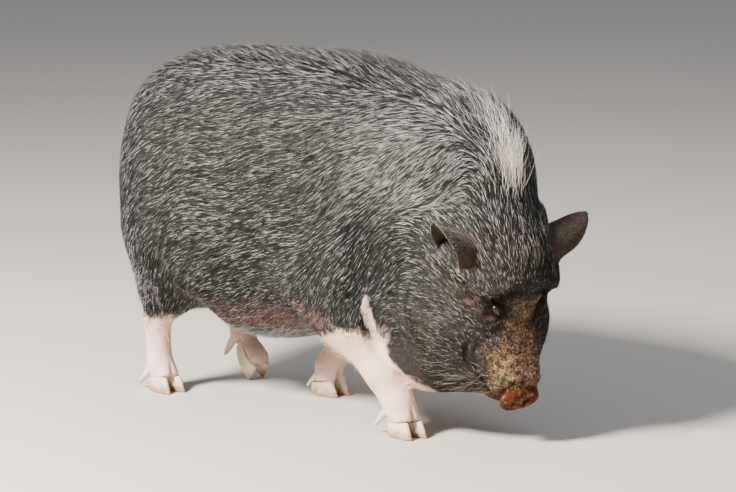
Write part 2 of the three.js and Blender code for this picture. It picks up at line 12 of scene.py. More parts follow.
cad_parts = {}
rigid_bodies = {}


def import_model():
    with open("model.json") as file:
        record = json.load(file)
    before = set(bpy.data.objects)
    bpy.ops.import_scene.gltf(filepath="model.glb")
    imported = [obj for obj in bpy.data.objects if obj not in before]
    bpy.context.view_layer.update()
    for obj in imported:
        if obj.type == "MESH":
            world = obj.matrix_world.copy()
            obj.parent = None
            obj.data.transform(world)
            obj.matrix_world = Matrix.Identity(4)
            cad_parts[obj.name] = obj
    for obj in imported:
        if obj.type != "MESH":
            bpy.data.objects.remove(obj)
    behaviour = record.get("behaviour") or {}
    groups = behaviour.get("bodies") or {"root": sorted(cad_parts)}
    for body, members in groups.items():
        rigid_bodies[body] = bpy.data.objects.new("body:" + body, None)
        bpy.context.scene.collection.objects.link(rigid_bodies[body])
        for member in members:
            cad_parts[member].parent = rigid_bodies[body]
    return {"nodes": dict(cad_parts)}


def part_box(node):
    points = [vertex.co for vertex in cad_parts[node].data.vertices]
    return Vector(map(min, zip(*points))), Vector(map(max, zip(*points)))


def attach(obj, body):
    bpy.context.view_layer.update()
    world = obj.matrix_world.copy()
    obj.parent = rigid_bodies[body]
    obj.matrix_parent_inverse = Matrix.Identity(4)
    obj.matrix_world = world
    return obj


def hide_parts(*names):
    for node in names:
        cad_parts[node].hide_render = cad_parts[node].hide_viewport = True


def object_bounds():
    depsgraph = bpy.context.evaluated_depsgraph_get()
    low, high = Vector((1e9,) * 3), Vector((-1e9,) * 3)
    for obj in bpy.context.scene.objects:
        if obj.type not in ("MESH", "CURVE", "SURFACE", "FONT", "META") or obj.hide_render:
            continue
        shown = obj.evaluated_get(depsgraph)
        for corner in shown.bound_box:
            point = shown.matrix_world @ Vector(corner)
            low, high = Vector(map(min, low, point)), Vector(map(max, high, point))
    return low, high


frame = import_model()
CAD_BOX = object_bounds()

bl_info = {
    "name": "Pot-bellied pig",
    "version": (1, 0, 0),
    "blender": (4, 5, 0),
    "location": "3D View > Sidebar > Pig",
    "description": "Builds a life-size pot-bellied pig with skin folds, bristles, eyes and claws",
    "category": "Add Mesh",
}

MM = 0.001
LEGS = ("fore_right", "fore_left", "hind_right", "hind_left")
SIDES = {"right": -1, "left": 1}
BOTH = (1, -1)  # as drawn, and mirrored
CLAWS = [
    f"{kind}_{leg}_{side}" for kind in ("hoof", "dewclaw") for leg in LEGS for side in ("outer", "inner")
]
FLESH = ["trunk", "neck", "head", "jaw", "tail", "snout_plate"]
FLESH += [f"{part}_{side}" for part in ("shoulder", "ham", "ear") for side in SIDES]
FLESH += [f"leg_{leg}" for leg in LEGS]


# Places on the head: the frame's own eyes and snout give its axes.


def unit(v):
    return v / np.linalg.norm(v)


def middle(node):
    low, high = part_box(node)
    return np.array((low + high) / 2)


EYES = {side: middle(f"eye_{side}") for side in SIDES}
EAR_REACH = {"right": (-55, -46, 39), "left": (-46, 50, 40)}  # from root to tip, in the head's axes
EYE_RADIUS = float((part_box("eye_right")[1].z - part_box("eye_right")[0].z) / 2)
BALL_RADIUS = EYE_RADIUS * 0.975  # the visible ball keeps just inside its solid
GAZE = (0.34, 0.8, 0.42)  # the way the left eye looks, in the head's axes
BROW = (EYES["right"] + EYES["left"]) / 2
LEFTWARDS = unit(EYES["left"] - EYES["right"])
SNOUT = middle("snout_plate")
SNOUT_DROP = math.radians(18.8)  # the snout lies this far below the line of the forehead
_to_snout = unit((SNOUT - BROW) - LEFTWARDS * ((SNOUT - BROW) @ LEFTWARDS))
_off_snout = np.cross(_to_snout, LEFTWARDS)
FORWARD = _to_snout * math.cos(SNOUT_DROP) + _off_snout * math.sin(SNOUT_DROP)
UPWARDS = np.cross(FORWARD, LEFTWARDS)
HEAD_AXES = np.array([FORWARD, LEFTWARDS, UPWARDS])


def head_turn(way, mirror=1):
    """A way given forward, left and up of the head, in the frame's axes. mirror -1 swaps its sides."""
    forward, left, up = way
    return FORWARD * forward + LEFTWARDS * (left * mirror) + UPWARDS * up


def on_head(place, mirror=1):
    """A place on the head, given in millimetres from the point midway between the eyes."""
    return BROW + head_turn(place, mirror) * MM


def head_places(points):
    """Points in the head's own axes, in millimetres."""
    return (points - BROW) @ HEAD_AXES.T / MM


def gaze_of(side):
    return unit(head_turn(GAZE, SIDES[side]))


# Small helpers for numbers over a surface.


def fade(value, start, end):
    """0 at start and 1 at end, with soft ends."""
    t = np.clip((value - start) / (end - start), 0, 1)
    return t * t * (3 - 2 * t)


def within(points, centre, radii, soft=0.35):
    """1 inside an ellipsoid given in millimetres, fading to 0 outside it."""
    reach = np.linalg.norm((points - np.asarray(centre) * MM) / (np.asarray(radii) * MM), axis=1)
    return 1 - fade(reach, 1 - soft, 1 + soft)


def round_place(points, centre, radius, soft):
    """1 within radius millimetres of a point in metres, fading to 0 outside."""
    return 1 - fade(np.linalg.norm(points - centre, axis=1) / (radius * MM), 1 - soft, 1 + soft)


def off_belly(points):
    """0 over the underside of the belly, and 1 away from it."""
    return 1 - within(points, (-40, 0, 100), (190, 130, 60))


def ripple(points, size, seed):
    """A smooth field from -1 to 1 whose waves are about size millimetres long."""
    rng = np.random.default_rng(seed)
    total = np.zeros(len(points))
    for _ in range(6):
        way = unit(rng.normal(size=3)) * 2 * math.pi / (size * MM * rng.uniform(0.7, 1.4))
        total += np.sin(points @ way + rng.uniform(0, 6.28))
    return total / 3.2


# Meshes in and out of arrays.


def read(items, key, width, kind=np.float32):
    """A value of every item of a mesh, one row of this width for each."""
    data = np.empty(len(items) * width, kind)
    items.foreach_get(key, data)
    return data.reshape(-1, width)


def coordinates(mesh):
    return read(mesh.vertices, "co", 3).astype(float)


def normals(mesh):
    return read(mesh.vertex_normals, "vector", 3).astype(float)


def edges_of(mesh):
    return read(mesh.edges, "vertices", 2, np.int32)


def set_coordinates(mesh, co):
    mesh.vertices.foreach_set("co", co.astype(np.float32).ravel())
    mesh.update()


def store(mesh, key, data):
    """Keeps one number, or one vector, with every vertex of a mesh."""
    kind, field = ("FLOAT_VECTOR", "vector") if data.ndim == 2 else ("FLOAT", "value")
    layer = mesh.attributes.new(key, kind, "POINT")
    layer.data.foreach_set(field, data.astype(np.float32).ravel())


def held_in(co, margin=0.003):
    """Eases whatever would pass the frame's box back inside it."""
    low, high = (np.array(corner) for corner in CAD_BOX)
    past = (co - high + margin).clip(0)
    co = co - past + margin * (1 - np.exp(-past / margin))
    past = (low + margin - co).clip(0)
    return co + past - margin * (1 - np.exp(-past / margin))


def relaxed(co, edges, share, rounds):
    """Moves each row towards the mean of its neighbours. share is one number or one for each vertex."""
    count = np.bincount(edges.ravel(), minlength=len(co)).clip(1)
    share = np.broadcast_to(share, len(co))[:, None]
    for _ in range(rounds):
        total = np.empty_like(co)
        for axis in range(co.shape[1]):
            across = co[edges[:, ::-1], axis].ravel()
            total[:, axis] = np.bincount(edges.ravel(), weights=across, minlength=len(co))
        co = co + (total / count[:, None] - co) * share
    return co


def mesh_object(name, vertices, triangles, uv, values):
    """A new smooth-shaded object from arrays, with an OFBake map and the values of its points."""
    mesh = bpy.data.meshes.new(name)
    mesh.vertices.add(len(vertices))
    mesh.vertices.foreach_set("co", vertices.astype(np.float32).ravel())
    mesh.loops.add(triangles.size)
    mesh.loops.foreach_set("vertex_index", triangles.astype(np.int32).ravel())
    mesh.polygons.add(len(triangles))
    mesh.polygons.foreach_set("loop_start", np.arange(0, triangles.size, 3, dtype=np.int32))
    mesh.update(calc_edges=True)
    mesh.polygons.foreach_set("use_smooth", np.ones(len(triangles), bool))
    layer = mesh.uv_layers.new(name="OFBake")
    layer.data.foreach_set("uv", uv[triangles.ravel()].astype(np.float32).ravel())
    for key, data in values.items():
        store(mesh, key, data)
    made = bpy.data.objects.new(name, mesh)
    bpy.context.scene.collection.objects.link(made)
    return made


def only(obj):
    """Leaves obj alone selected and active."""
    bpy.ops.object.select_all(action="DESELECT")
    obj.select_set(True)
    bpy.context.view_layer.objects.active = obj
    return obj


def joined_copy(nodes, name):
    """One object made of copies of these frame nodes, their doubled vertices merged."""
    bpy.ops.object.select_all(action="DESELECT")
    for node in nodes:
        frame["nodes"][node].select_set(True)
    bpy.context.view_layer.objects.active = frame["nodes"][nodes[0]]
    bpy.ops.object.duplicate()
    if len(nodes) > 1:
        bpy.ops.object.join()
    made = bpy.context.view_layer.objects.active
    bpy.ops.object.parent_clear(type="CLEAR_KEEP_TRANSFORM")
    for key in list(made.keys()):
        del made[key]
    made.name = made.data.name = name
    made.data.materials.clear()
    only(made)
    bpy.ops.object.mode_set(mode="EDIT")
    bpy.ops.mesh.select_all(action="SELECT")
    bpy.ops.mesh.remove_doubles(threshold=1e-6)
    bpy.ops.object.mode_set(mode="OBJECT")
    return made


def remeshed(obj, voxel):
    """Turns obj into one even closed surface."""
    only(obj)
    step = obj.modifiers.new("voxels", "REMESH")
    step.mode, step.voxel_size, step.use_smooth_shade = "VOXEL", voxel, True
    bpy.ops.object.modifier_apply(modifier=step.name)
    return obj


# The user's settings.


class PigBody(bpy.types.PropertyGroup):
    skin_detail: FloatProperty(
        name="Skin detail", description="Mesh size of the skin", default=0.003, unit="LENGTH"
    )
    coat_depth: FloatProperty(
        name="Coat depth",
        description="From the skin out to the tips on the flanks",
        default=0.007,
        unit="LENGTH",
    )
    fold_depth: FloatProperty(name="Fold depth", description="Strength of the folds of the face", default=1.0)


class PigCoat(bpy.types.PropertyGroup):
    bristles: IntProperty(name="Bristles", description="How many bristles cover the body", default=318000)
    length: FloatProperty(name="Length", description="Bristles on the flanks", default=0.015, unit="LENGTH")
    width: FloatProperty(name="Width", description="Bristle at its root", default=0.00065, unit="LENGTH")


def colour(name, description, value):
    return FloatVectorProperty(
        name=name, description=description, default=value, size=3, subtype="COLOR", min=0, max=1
    )


class PigColours(bpy.types.PropertyGroup):
    dark_hair: colour("Dark hair", "Most bristles", (0.01, 0.01, 0.011))
    silver_hair: colour("Silver hair", "The lighter bristles among them", (0.55, 0.55, 0.52))
    white_hair: colour("White hair", "Legs, chest stripe and crest", (0.95, 0.88, 0.76))
    dark_skin: colour("Dark skin", "Skin of the body", (0.014, 0.013, 0.012))
    pink_skin: colour("Pink skin", "Skin of the legs and groin", (0.9, 0.6, 0.48))
    mud: colour("Mud", "Dried earth on the muzzle", (0.26, 0.15, 0.075))
    nose: colour("Nose", "Bare end of the snout", (0.055, 0.011, 0.004))
    horn: colour("Horn", "Claws", (0.78, 0.62, 0.47))


class PigStage(bpy.types.PropertyGroup):
    azimuth: FloatProperty(name="Azimuth", description="Of the camera, in degrees", default=40)
    elevation: FloatProperty(name="Elevation", description="Of the camera, in degrees", default=9)
    distance: FloatProperty(name="Distance", description="Camera to pig", default=4.8, unit="LENGTH")
    lens: FloatProperty(name="Lens", description="Focal length in millimetres", default=150)


# Materials.


class Net:
    """Short calls for wiring a node tree."""

    def __init__(self, tree):
        self.tree = tree

    def feed(self, socket, value):
        if isinstance(value, bpy.types.NodeSocket):
            self.tree.links.new(value, socket)
        elif hasattr(value, "__len__") and socket.type == "RGBA":
            socket.default_value = (*value, 1.0)[:4]
        else:
            socket.default_value = value

    def add(self, kind, inputs=None, **settings):
        node = self.tree.nodes.new("ShaderNode" + kind)
        for key, value in settings.items():
            setattr(node, key, value)
        for key, value in (inputs or {}).items():
            self.feed(node.inputs[key], value)
        return node

    def calc(self, operation, *values):
        return self.add("Math", dict(enumerate(values)), operation=operation).outputs[0]

    def vector(self, operation, *values):
        node = self.add("VectorMath", dict(enumerate(values)), operation=operation)
        return node.outputs["Value" if operation == "LENGTH" else "Vector"]

    def stored(self, name, output="Fac"):
        """A value kept with the vertices of the mesh."""
        return self.add("Attribute", attribute_name=name).outputs[output]

    def fade(self, value, low, high, start=0.0, end=1.0):
        inputs = {"Value": value, "From Min": low, "From Max": high, "To Min": start, "To Max": end}
        return self.add("MapRange", inputs, interpolation_type="SMOOTHSTEP").outputs[0]

    def blend(self, share, a, b, how="MIX"):
        node = self.add("Mix", {0: share, 6: a, 7: b}, data_type="RGBA", blend_type=how)
        return node.outputs[2]

    def noise(self, place, scale, detail, rough, stretch=None):
        if stretch is not None:
            place = self.vector("MULTIPLY", place, stretch)
        inputs = {"Vector": place, "Scale": scale, "Detail": detail, "Roughness": rough}
        return self.add("TexNoise", inputs).outputs["Fac"]

    def most(self, values):
        total = values[0]
        for value in values[1:]:
            total = self.calc("MAXIMUM", total, value)
        return total

    def group(self, tree, inputs):
        return self.add("Group", inputs, node_tree=tree).outputs

    def over(self, base, layer, mask, share, how="MIX"):
        """Lays one colour over another where the mask is, at this share of its full strength."""
        return self.blend(self.calc("MULTIPLY", mask, share), base, layer, how)


def new_group(name, inputs, outputs):
    """An empty node group, its Net, and its own ends. inputs and outputs are name to kind."""
    tree = bpy.data.node_groups.new(name, "ShaderNodeTree")
    for direction, sockets in (("INPUT", inputs), ("OUTPUT", outputs)):
        for key, kind in sockets.items():
            tree.interface.new_socket(key, in_out=direction, socket_type="NodeSocket" + kind)
    given = tree.nodes.new("NodeGroupInput").outputs
    return tree, Net(tree), given, tree.nodes.new("NodeGroupOutput").inputs


def toned(tint, share):
    """A darker version of a colour for a share below 1, and a lighter one above it."""
    return [min(1, part * share) for part in tint]


# Markings, in millimetres. The white of the legs: (the leg's axis, half widths, where the white ends).
SLEEVES = (
    ((188, -120), (95, 72), 160),
    ((15, 62), (120, 75), 138),
    ((-262, -105), (72, 52), 122),
    ((-242, 78), (72, 52), 122),
)
# The rest are ellipsoids: (centre, radii).
WHITE_SPOTS = (  # the stripe down the edge of the chest
    ((190, -158, 200), (4, 24, 15)),
    ((193, -154, 182), (5, 24, 18)),
    ((197, -148, 160), (6, 26, 20)),
    ((202, -140, 138), (9, 26, 22)),
)
JOWL = ((298, -62, 148), (101, 118, 77))  # dark in front of the white leg
CHEEKS = ((290, -60, 140), (110, 150, 80))  # a brown tinge, as round the eyes
PINK_SPOTS = (
    ((-166, -136, 156), (20, 24, 20)),
    ((-166, 136, 156), (20, 24, 20)),
    ((-138, -112, 134), (32, 26, 18)),
    ((-138, 112, 134), (32, 26, 18)),
    ((-90, 0, 84), (190, 130, 34)),
    ((-20, -128, 128), (110, 46, 34)),
    ((-20, 128, 128), (110, 46, 34)),
    ((60, -176, 168), (60, 22, 22)),
)
# Those of the head lie forward, left and up of the brow. The last two sets are mirrored.
MUD_SPOTS = (((88, 0, -16), (54, 60, 60)), ((36, -3, 8), (44, 24, 40)))
EYE_SURROUNDS = ((0, 0, -10), (130, 120, 120))
PAINTED_SHADE_SPOTS = (  # painted shade round the eyes, under the brow and in the corner of the mouth
    ((8, -44, 8), (34, 22, 24)),
    ((-22, -80, -2), (18, 12, 10)),
    ((70, -77, -37), (13, 12, 11)),
)
LID_SPOTS = (  # reddish folds below and behind the eye
    ((-16, -82, -8), (11, 8, 5)),
    ((-2, -70, -6), (11, 8, 4)),
    ((12, -54, -4), (9, 8, 4)),
)


def markings():
    """Where the coat is white, the skin pink, mud sticks and shade is painted round the eyes and mouth, from
    a place on the pig in metres.
    """
    found = bpy.data.node_groups.get("pig_markings")
    if found:
        return found
    outputs = dict.fromkeys(("White", "Pink", "Mud", "Nose", "PaintedShade", "Lids", "Tan", "Mottle"), "Float")
    tree, net, given, result = new_group("pig_markings", {"Place": "Vector"}, outputs)
    place = given["Place"]
    wobble = net.calc("SUBTRACT", net.noise(place, 38, 4, 0.6), 0.5)

    def spot(centre, radii, soft=0.25, waver=0.9):
        away = net.vector("SUBTRACT", place, tuple(np.asarray(centre) * MM))
        reach = net.vector("LENGTH", net.vector("DIVIDE", away, tuple(np.asarray(radii) * MM)))
        return net.fade(net.calc("MULTIPLY_ADD", wobble, waver, reach), 1 + soft, 1 - soft)

    def on_face(spots, soft, waver, mirrors=BOTH):
        return [spot(on_head(at, m) / MM, radii, soft, waver) for m in mirrors for at, radii in spots]

    height = net.add("SeparateXYZ", {0: place}).outputs["Z"]
    stripe = [spot(*s) for s in WHITE_SPOTS]
    sleeves = []
    for (x, y), (half_x, half_y), top in SLEEVES:
        sleeve = spot((x, y, 60), (half_x, half_y, 400), 0.1)
        ragged = net.calc("MULTIPLY_ADD", wobble, 0.05, height)
        sleeves.append(net.calc("MULTIPLY", sleeve, net.fade(ragged, (top + 9) * MM, (top - 9) * MM)))
    outside_jowl = net.calc("SUBTRACT", 1.0, spot(*JOWL, 0.06, 0.4))
    legs = net.calc("MULTIPLY", net.most(sleeves), outside_jowl)
    net.feed(result["White"], net.most([*stripe, legs]))
    net.feed(result["Pink"], net.most([spot(*s, 0.8) for s in PINK_SPOTS]))
    net.feed(result["Mud"], net.most(on_face(MUD_SPOTS, 0.45, 1.6, (1,))))
    net.feed(result["PaintedShade"], net.most(on_face(PAINTED_SHADE_SPOTS, 0.6, 0.5)))
    tan = [*on_face([EYE_SURROUNDS], 0.5, 0.6, (1,)), spot(*CHEEKS, 0.5, 0.6)]
    net.feed(result["Tan"], net.most(tan))
    net.feed(result["Lids"], net.most(on_face(LID_SPOTS, 0.5, 0.7)))
    net.feed(result["Nose"], spot(SNOUT / MM, (33, 43, 31), 0.12, 0.5))
    net.feed(result["Mottle"], net.noise(place, 14, 5, 0.62))
    return tree


def new_material(name, **settings):
    """A material with one Principled shader. Plain settings go on the shader's own sockets."""
    material = bpy.data.materials.new(name)
    material.use_nodes = True
    net = Net(material.node_tree)
    shader = next(n for n in material.node_tree.nodes if n.type == "BSDF_PRINCIPLED")
    for key, value in settings.items():
        shader.inputs[key.replace("_", " ").title().replace("Ior", "IOR")].default_value = value
    return material, net, shader


def coat_material(colours):
    """Bristles: the markings at each bristle's root, with painted shade round the eyes and mouth, and its own
    shade.
    """
    material, net, shader = new_material("bristle", roughness=0.4, specular_ior_level=0.14)
    root, shade = net.stored("root", "Vector"), net.stored("shade")
    marks = net.group(markings(), {"Place": root})
    patchy = net.calc("MULTIPLY_ADD", net.calc("SUBTRACT", marks["Mottle"], 0.5), 0.2, shade)
    tip = net.stored("along")
    pale = net.calc("MULTIPLY_ADD", tip, 0.3, net.calc("SUBTRACT", patchy, 0.15))
    hair = net.blend(net.fade(pale, 0.26, 0.85), colours.dark_hair, colours.silver_hair)
    golden = net.blend(net.fade(pale, 0.25, 0.95), (0.035, 0.018, 0.009), (0.62, 0.4, 0.2))
    hair = net.over(hair, (0.8, 0.6, 0.44), marks["Tan"], 0.75, "MULTIPLY")
    hair = net.over(hair, golden, marks["Mud"], 0.85)
    # painted shade: the bristles darkened round the eyes and in the corner of the mouth
    hair = net.over(hair, (0.02, 0.014, 0.01), marks["PaintedShade"], 0.85)
    white = net.fade(net.calc("MULTIPLY_ADD", shade, 0.5, marks["White"]), 0.55, 0.85)
    hair = net.blend(white, hair, colours.white_hair)
    net.feed(shader.inputs["Base Color"], hair)
    return material


def skin_material(colours):
    """Skin: the same markings, pores, dried mud, and shade painted into creases and round the eyes and mouth.
    """
    material, net, shader = new_material("pig_skin", specular_ior_level=0.08)
    place = net.add("TexCoord").outputs["Object"]
    marks = net.group(markings(), {"Place": place})
    fine = net.noise(place, 420, 4, 0.65)
    blotch = net.noise(place, 60, 4, 0.6)
    dark = net.blend(blotch, toned(colours.dark_skin, 0.6), toned(colours.dark_skin, 1.8))
    pale = net.blend(blotch, toned(colours.pink_skin, 0.72), toned(colours.pink_skin, 1.25))
    grain = net.fade(net.noise(place, 300, 3, 0.6), 0.36, 0.64)
    dark = net.over(dark, toned(colours.dark_skin, 3), grain, 0.75)
    skin = net.blend(marks["White"], dark, pale)
    flush = net.blend(blotch, (0.12, 0.042, 0.032), (0.46, 0.2, 0.15))
    skin = net.over(skin, flush, marks["Pink"], net.fade(blotch, 0.3, 0.7, 0.4, 0.75))
    ear = net.blend(fine, (0.022, 0.015, 0.011), (0.085, 0.058, 0.042))
    skin = net.blend(net.stored("ear"), skin, ear)
    dirt = net.blend(grain, toned(colours.mud, 0.16), toned(colours.mud, 1.7))
    crusts = net.calc("MULTIPLY", marks["Mud"], net.fade(net.noise(place, 95, 5, 0.7), 0.36, 0.6))
    skin = net.blend(crusts, skin, dirt)
    nose = net.blend(net.noise(place, 150, 4, 0.7), toned(colours.nose, 0.55), toned(colours.nose, 1.5))
    # painted shade: the skin darkened round the eyes and in the corner of the mouth
    skin = net.over(skin, (0.016, 0.01, 0.008), marks["PaintedShade"], 0.85)
    lids = net.blend(blotch, (0.1, 0.035, 0.028), (0.3, 0.15, 0.12))
    skin = net.over(skin, lids, marks["Lids"], 0.5)
    smear = net.fade(net.noise(place, 70, 4, 0.65), 0.5, 0.62, 0.0, 0.5)
    nose = net.blend(smear, nose, dirt)
    skin = net.blend(marks["Nose"], skin, nose)
    # painted shade: the skin darkened in creases, nostrils, toe clefts and round the lids
    skin = net.over(skin, (0.008, 0.005, 0.004), net.stored("crease"), 0.88)
    net.feed(shader.inputs["Base Color"], skin)
    net.feed(shader.inputs["Roughness"], net.fade(fine, 0.2, 0.8, 0.42, 0.72))
    pores = net.add("TexVoronoi", {"Vector": place, "Scale": 520.0}, feature="DISTANCE_TO_EDGE")
    rough = net.calc("MULTIPLY_ADD", net.fade(pores.outputs["Distance"], 0.0, 0.25), 0.35, fine)
    height = net.calc("MULTIPLY_ADD", crusts, 0.8, rough)
    bump = net.add("Bump", {"Height": height, "Strength": 0.55, "Distance": 0.0012})
    net.feed(shader.inputs["Normal"], bump.outputs["Normal"])
    return material


# Skin.


def coat_depth(points, deep):
    """How far the skin lies inside the solids, in metres: deepest along the back, where hair is long."""
    forward = head_places(points)[:, 0]
    spine = fade(points[:, 2], 0.47, 0.54) * (1 - fade(np.abs(points[:, 1]), 0.05, 0.13))
    depth = deep + 0.005 * spine
    depth *= 1 - 0.72 * fade(forward, -130, 10)
    depth *= 1 - fade(forward, 90, 125)  # nothing over the bare snout
    depth *= 1 - 0.72 * fade(points[:, 2], 0.15, 0.11) * off_belly(points)
    for side in SIDES:
        depth *= 1 - round_place(points, middle(f"ear_{side}"), 52, 0.25)
        depth *= 1 - round_place(points, EYES[side], 22, 0.4)
    return depth * (1 - 0.7 * fade(points[:, 0], -0.375, -0.395))  # the tail


def tree_of(points):
    """A search tree of the points."""
    tree = KDTree(len(points))
    for index, point in enumerate(points):
        tree.insert(point, index)
    tree.balance()
    return tree


def curve_through(places, steps=10):
    """A smooth line through a few places."""
    p = np.array([2 * places[0] - places[1], *places, 2 * places[-1] - places[-2]])
    line = []
    for i in range(1, len(p) - 2):
        for t in np.linspace(0, 1, steps, endpoint=False):
            a, b, c, d = p[i - 1 : i + 3]
            square, cube = 2 * a - 5 * b + 4 * c - d, 3 * b - a - 3 * c + d
            line.append(0.5 * (2 * b + (c - a) * t + square * t**2 + cube * t**3))
    return np.array([*line, p[-2]])


class Sculptor:
    """Pushes and pulls the vertices of one skin, and notes the shade to paint into its creases."""

    def __init__(self, obj):
        self.obj = obj
        self.co = coordinates(obj.data)
        self.normal = normals(obj.data)
        self.tree = tree_of(self.co)
        # painted shade for each vertex, deepest in creases, nostrils, toe clefts and round the lids
        self.crease = np.zeros(len(self.co))

    def snapped(self, place):
        """The vertex nearest to a place."""
        return np.array(self.tree.find(Vector(place))[0])

    def fold(self, places, width, depth, lip, over=0, shadow=1.0):
        """A crease along places, with a raised lip beside it: on both sides, or on one if over is 1 or -1.
        Shade is painted into the crease, at shadow times its full strength.
        """
        line = curve_through([self.snapped(p) for p in places])
        reach = 4.5 * width * MM
        low, high = line.min(0) - reach, line.max(0) + reach
        near = np.nonzero(((self.co > low) & (self.co < high)).all(1))[0]
        gap = self.co[near][:, None] - line[None]
        distance = np.linalg.norm(gap, axis=2)
        nearest = distance.argmin(1)
        d = distance[np.arange(len(near)), nearest] / (width * MM)
        along = nearest / (len(line) - 1)
        ends = fade(np.minimum(along, 1 - along), -0.04, 0.3)
        move = -depth * np.exp(-(d**2))
        self.paint_shade(near, np.exp(-(d**2)) * ends * min(1, depth / 4) * shadow)
        heading = np.gradient(line, axis=0)[nearest]
        across = np.cross(heading, self.normal[near])
        side = np.sign((gap[np.arange(len(near)), nearest] * across).sum(1))
        share = 1.0 if over == 0 else np.where(side == over, 1.0, 0.0)
        move += lip * share * np.exp(-((d - 2.0) ** 2))
        self.co[near] += self.normal[near] * (move * ends * MM)[:, None]

    def bulge(self, place, radii, height):
        """A soft swelling round a place. Its radii, along the head's axes, and height are in millimetres."""
        away = (self.co - place) @ HEAD_AXES.T / MM
        reach = np.linalg.norm(away / np.asarray(radii, float), axis=1)
        near = np.nonzero(reach < 2.2)[0]
        push = height * MM * np.exp(-((reach[near] * 1.25) ** 2))
        self.co[near] += self.normal[near] * push[:, None]

    def paint_shade(self, near, share):
        """Notes the painted shade of these vertices, deepest in a crease; the skin's colour is darkened by
        it.
        """
        self.crease[near] = np.maximum(self.crease[near], share)

    def settle(self):
        """Writes the moves back and reads the new normals."""
        set_coordinates(self.obj.data, held_in(self.co))
        self.normal = normals(self.obj.data)


def subdivided(obj, keep):
    """Halves the edges of obj between the vertices where keep is true."""
    only(obj)
    bpy.ops.object.mode_set(mode="EDIT")
    bpy.ops.mesh.select_mode(type="VERT")
    bpy.ops.mesh.select_all(action="DESELECT")
    bpy.ops.object.mode_set(mode="OBJECT")
    obj.data.vertices.foreach_set("select", keep)
    bpy.ops.object.mode_set(mode="EDIT")
    bpy.ops.mesh.subdivide(number_cuts=1, smoothness=0.0)
    bpy.ops.mesh.quads_convert_to_tris()
    bpy.ops.mesh.select_all(action="DESELECT")
    bpy.ops.object.mode_set(mode="OBJECT")


def near_any(points, places):
    """Which points lie within any (centre in metres, radius in millimetres)."""
    found = np.zeros(len(points), bool)
    for centre, radius in places:
        found |= np.linalg.norm(points - centre, axis=1) < radius * MM
    return found


# Folds of the right side of the head, in millimetres from the brow: places along the crease, its
# width and depth, the height of the lip beside it, and its side (only above it for -1, both for 0).
FACE_FOLDS = (
    (
        (
            (-65, -93, -15), (-52, -87, -12), (-33, -77, -2), (-18, -60, 5),
            (-11, -44, 20), (-14, -28, 35), (-12, -3, 38),
        ),
        7, 9, 7, -1,
    ),
    (((-81, -99, -18), (-66, -95, -20), (-48, -88, -17), (-33, -84, -13)), 4.5, 4, 3, -1),
    (((-25, -88, -20), (-12, -80, -12), (3, -66, -8), (17, -53, -5), (24, -36, 2)), 2.6, 3.2, 2.0, 0),
    (((-8, -86, -22), (10, -74, -17), (26, -59, -12), (33, -44, -5)), 2.8, 3.0, 1.8, 0),
    (((16, -27, 7), (31, -39, -2), (38, -56, -11), (52, -72, -24), (64, -80, -32)), 5, 0.9, 0.5, 0),
    (((40, -80, -22), (51, -86, -32), (62, -84, -38), (73, -75, -38)), 4, 2.4, 1.6, 0),
    (
        ((58, -92, -47), (71, -77, -39), (86, -61, -44), (103, -44, -58), (122, -25, -65), (126, -4, -68)),
        2.6, 3.6, 1.4, 0,
    ),
    (((91, -33, -20), (87, -16, -9), (86, 0, -8)), 4, 1.6, 1.0, 0),
    (((99, -37, -29), (97, -18, -12), (96, 0, -10)), 3.2, 1.5, 0.9, 0),
    (((72, -38, -12), (71, -18, -2), (70, 0, -1)), 4, 0.8, 0.6, 0),
)
# Folds of the body, in the frame's millimetres: places, width, depth, lip.
BODY_FOLDS = (
    (((-209, -190, 300), (-207, -183, 240), (-204, -160, 185), (-199, -140, 156)), 14, 6, 3),
    (((262, -136, 425), (225, -154, 370), (203, -162, 305), (196, -160, 245), (193, -154, 200)), 20, 4.5, 3),
    (((72, -180, 400), (98, -191, 320), (110, -192, 250), (117, -187, 200)), 24, 3, 1.5),
    (((242, -134, 210), (263, -141, 169), (284, -139, 138), (313, -128, 116)), 9, 4, 3),
    (((199, -146, 207), (197, -144, 161), (217, -135, 129)), 9, 4, 2),
    (((236, -131, 266), (243, -130, 225), (240, -140, 181)), 10, 3.5, 2),
)
FACE_PADS = (  # swellings of the right side of the head: place, radii and height in millimetres
    ((-34, -62, 16), (24, 26, 20), 6.5),
    ((20, -99, -46), (30, 26, 30), 4.0),
    ((66, -60, -30), (22, 18, 18), 3.0),
    ((96, -36, -36), (18, 14, 18), 2.0),
)
LEFT_PADS = 0.45  # how high those of the left side are beside them


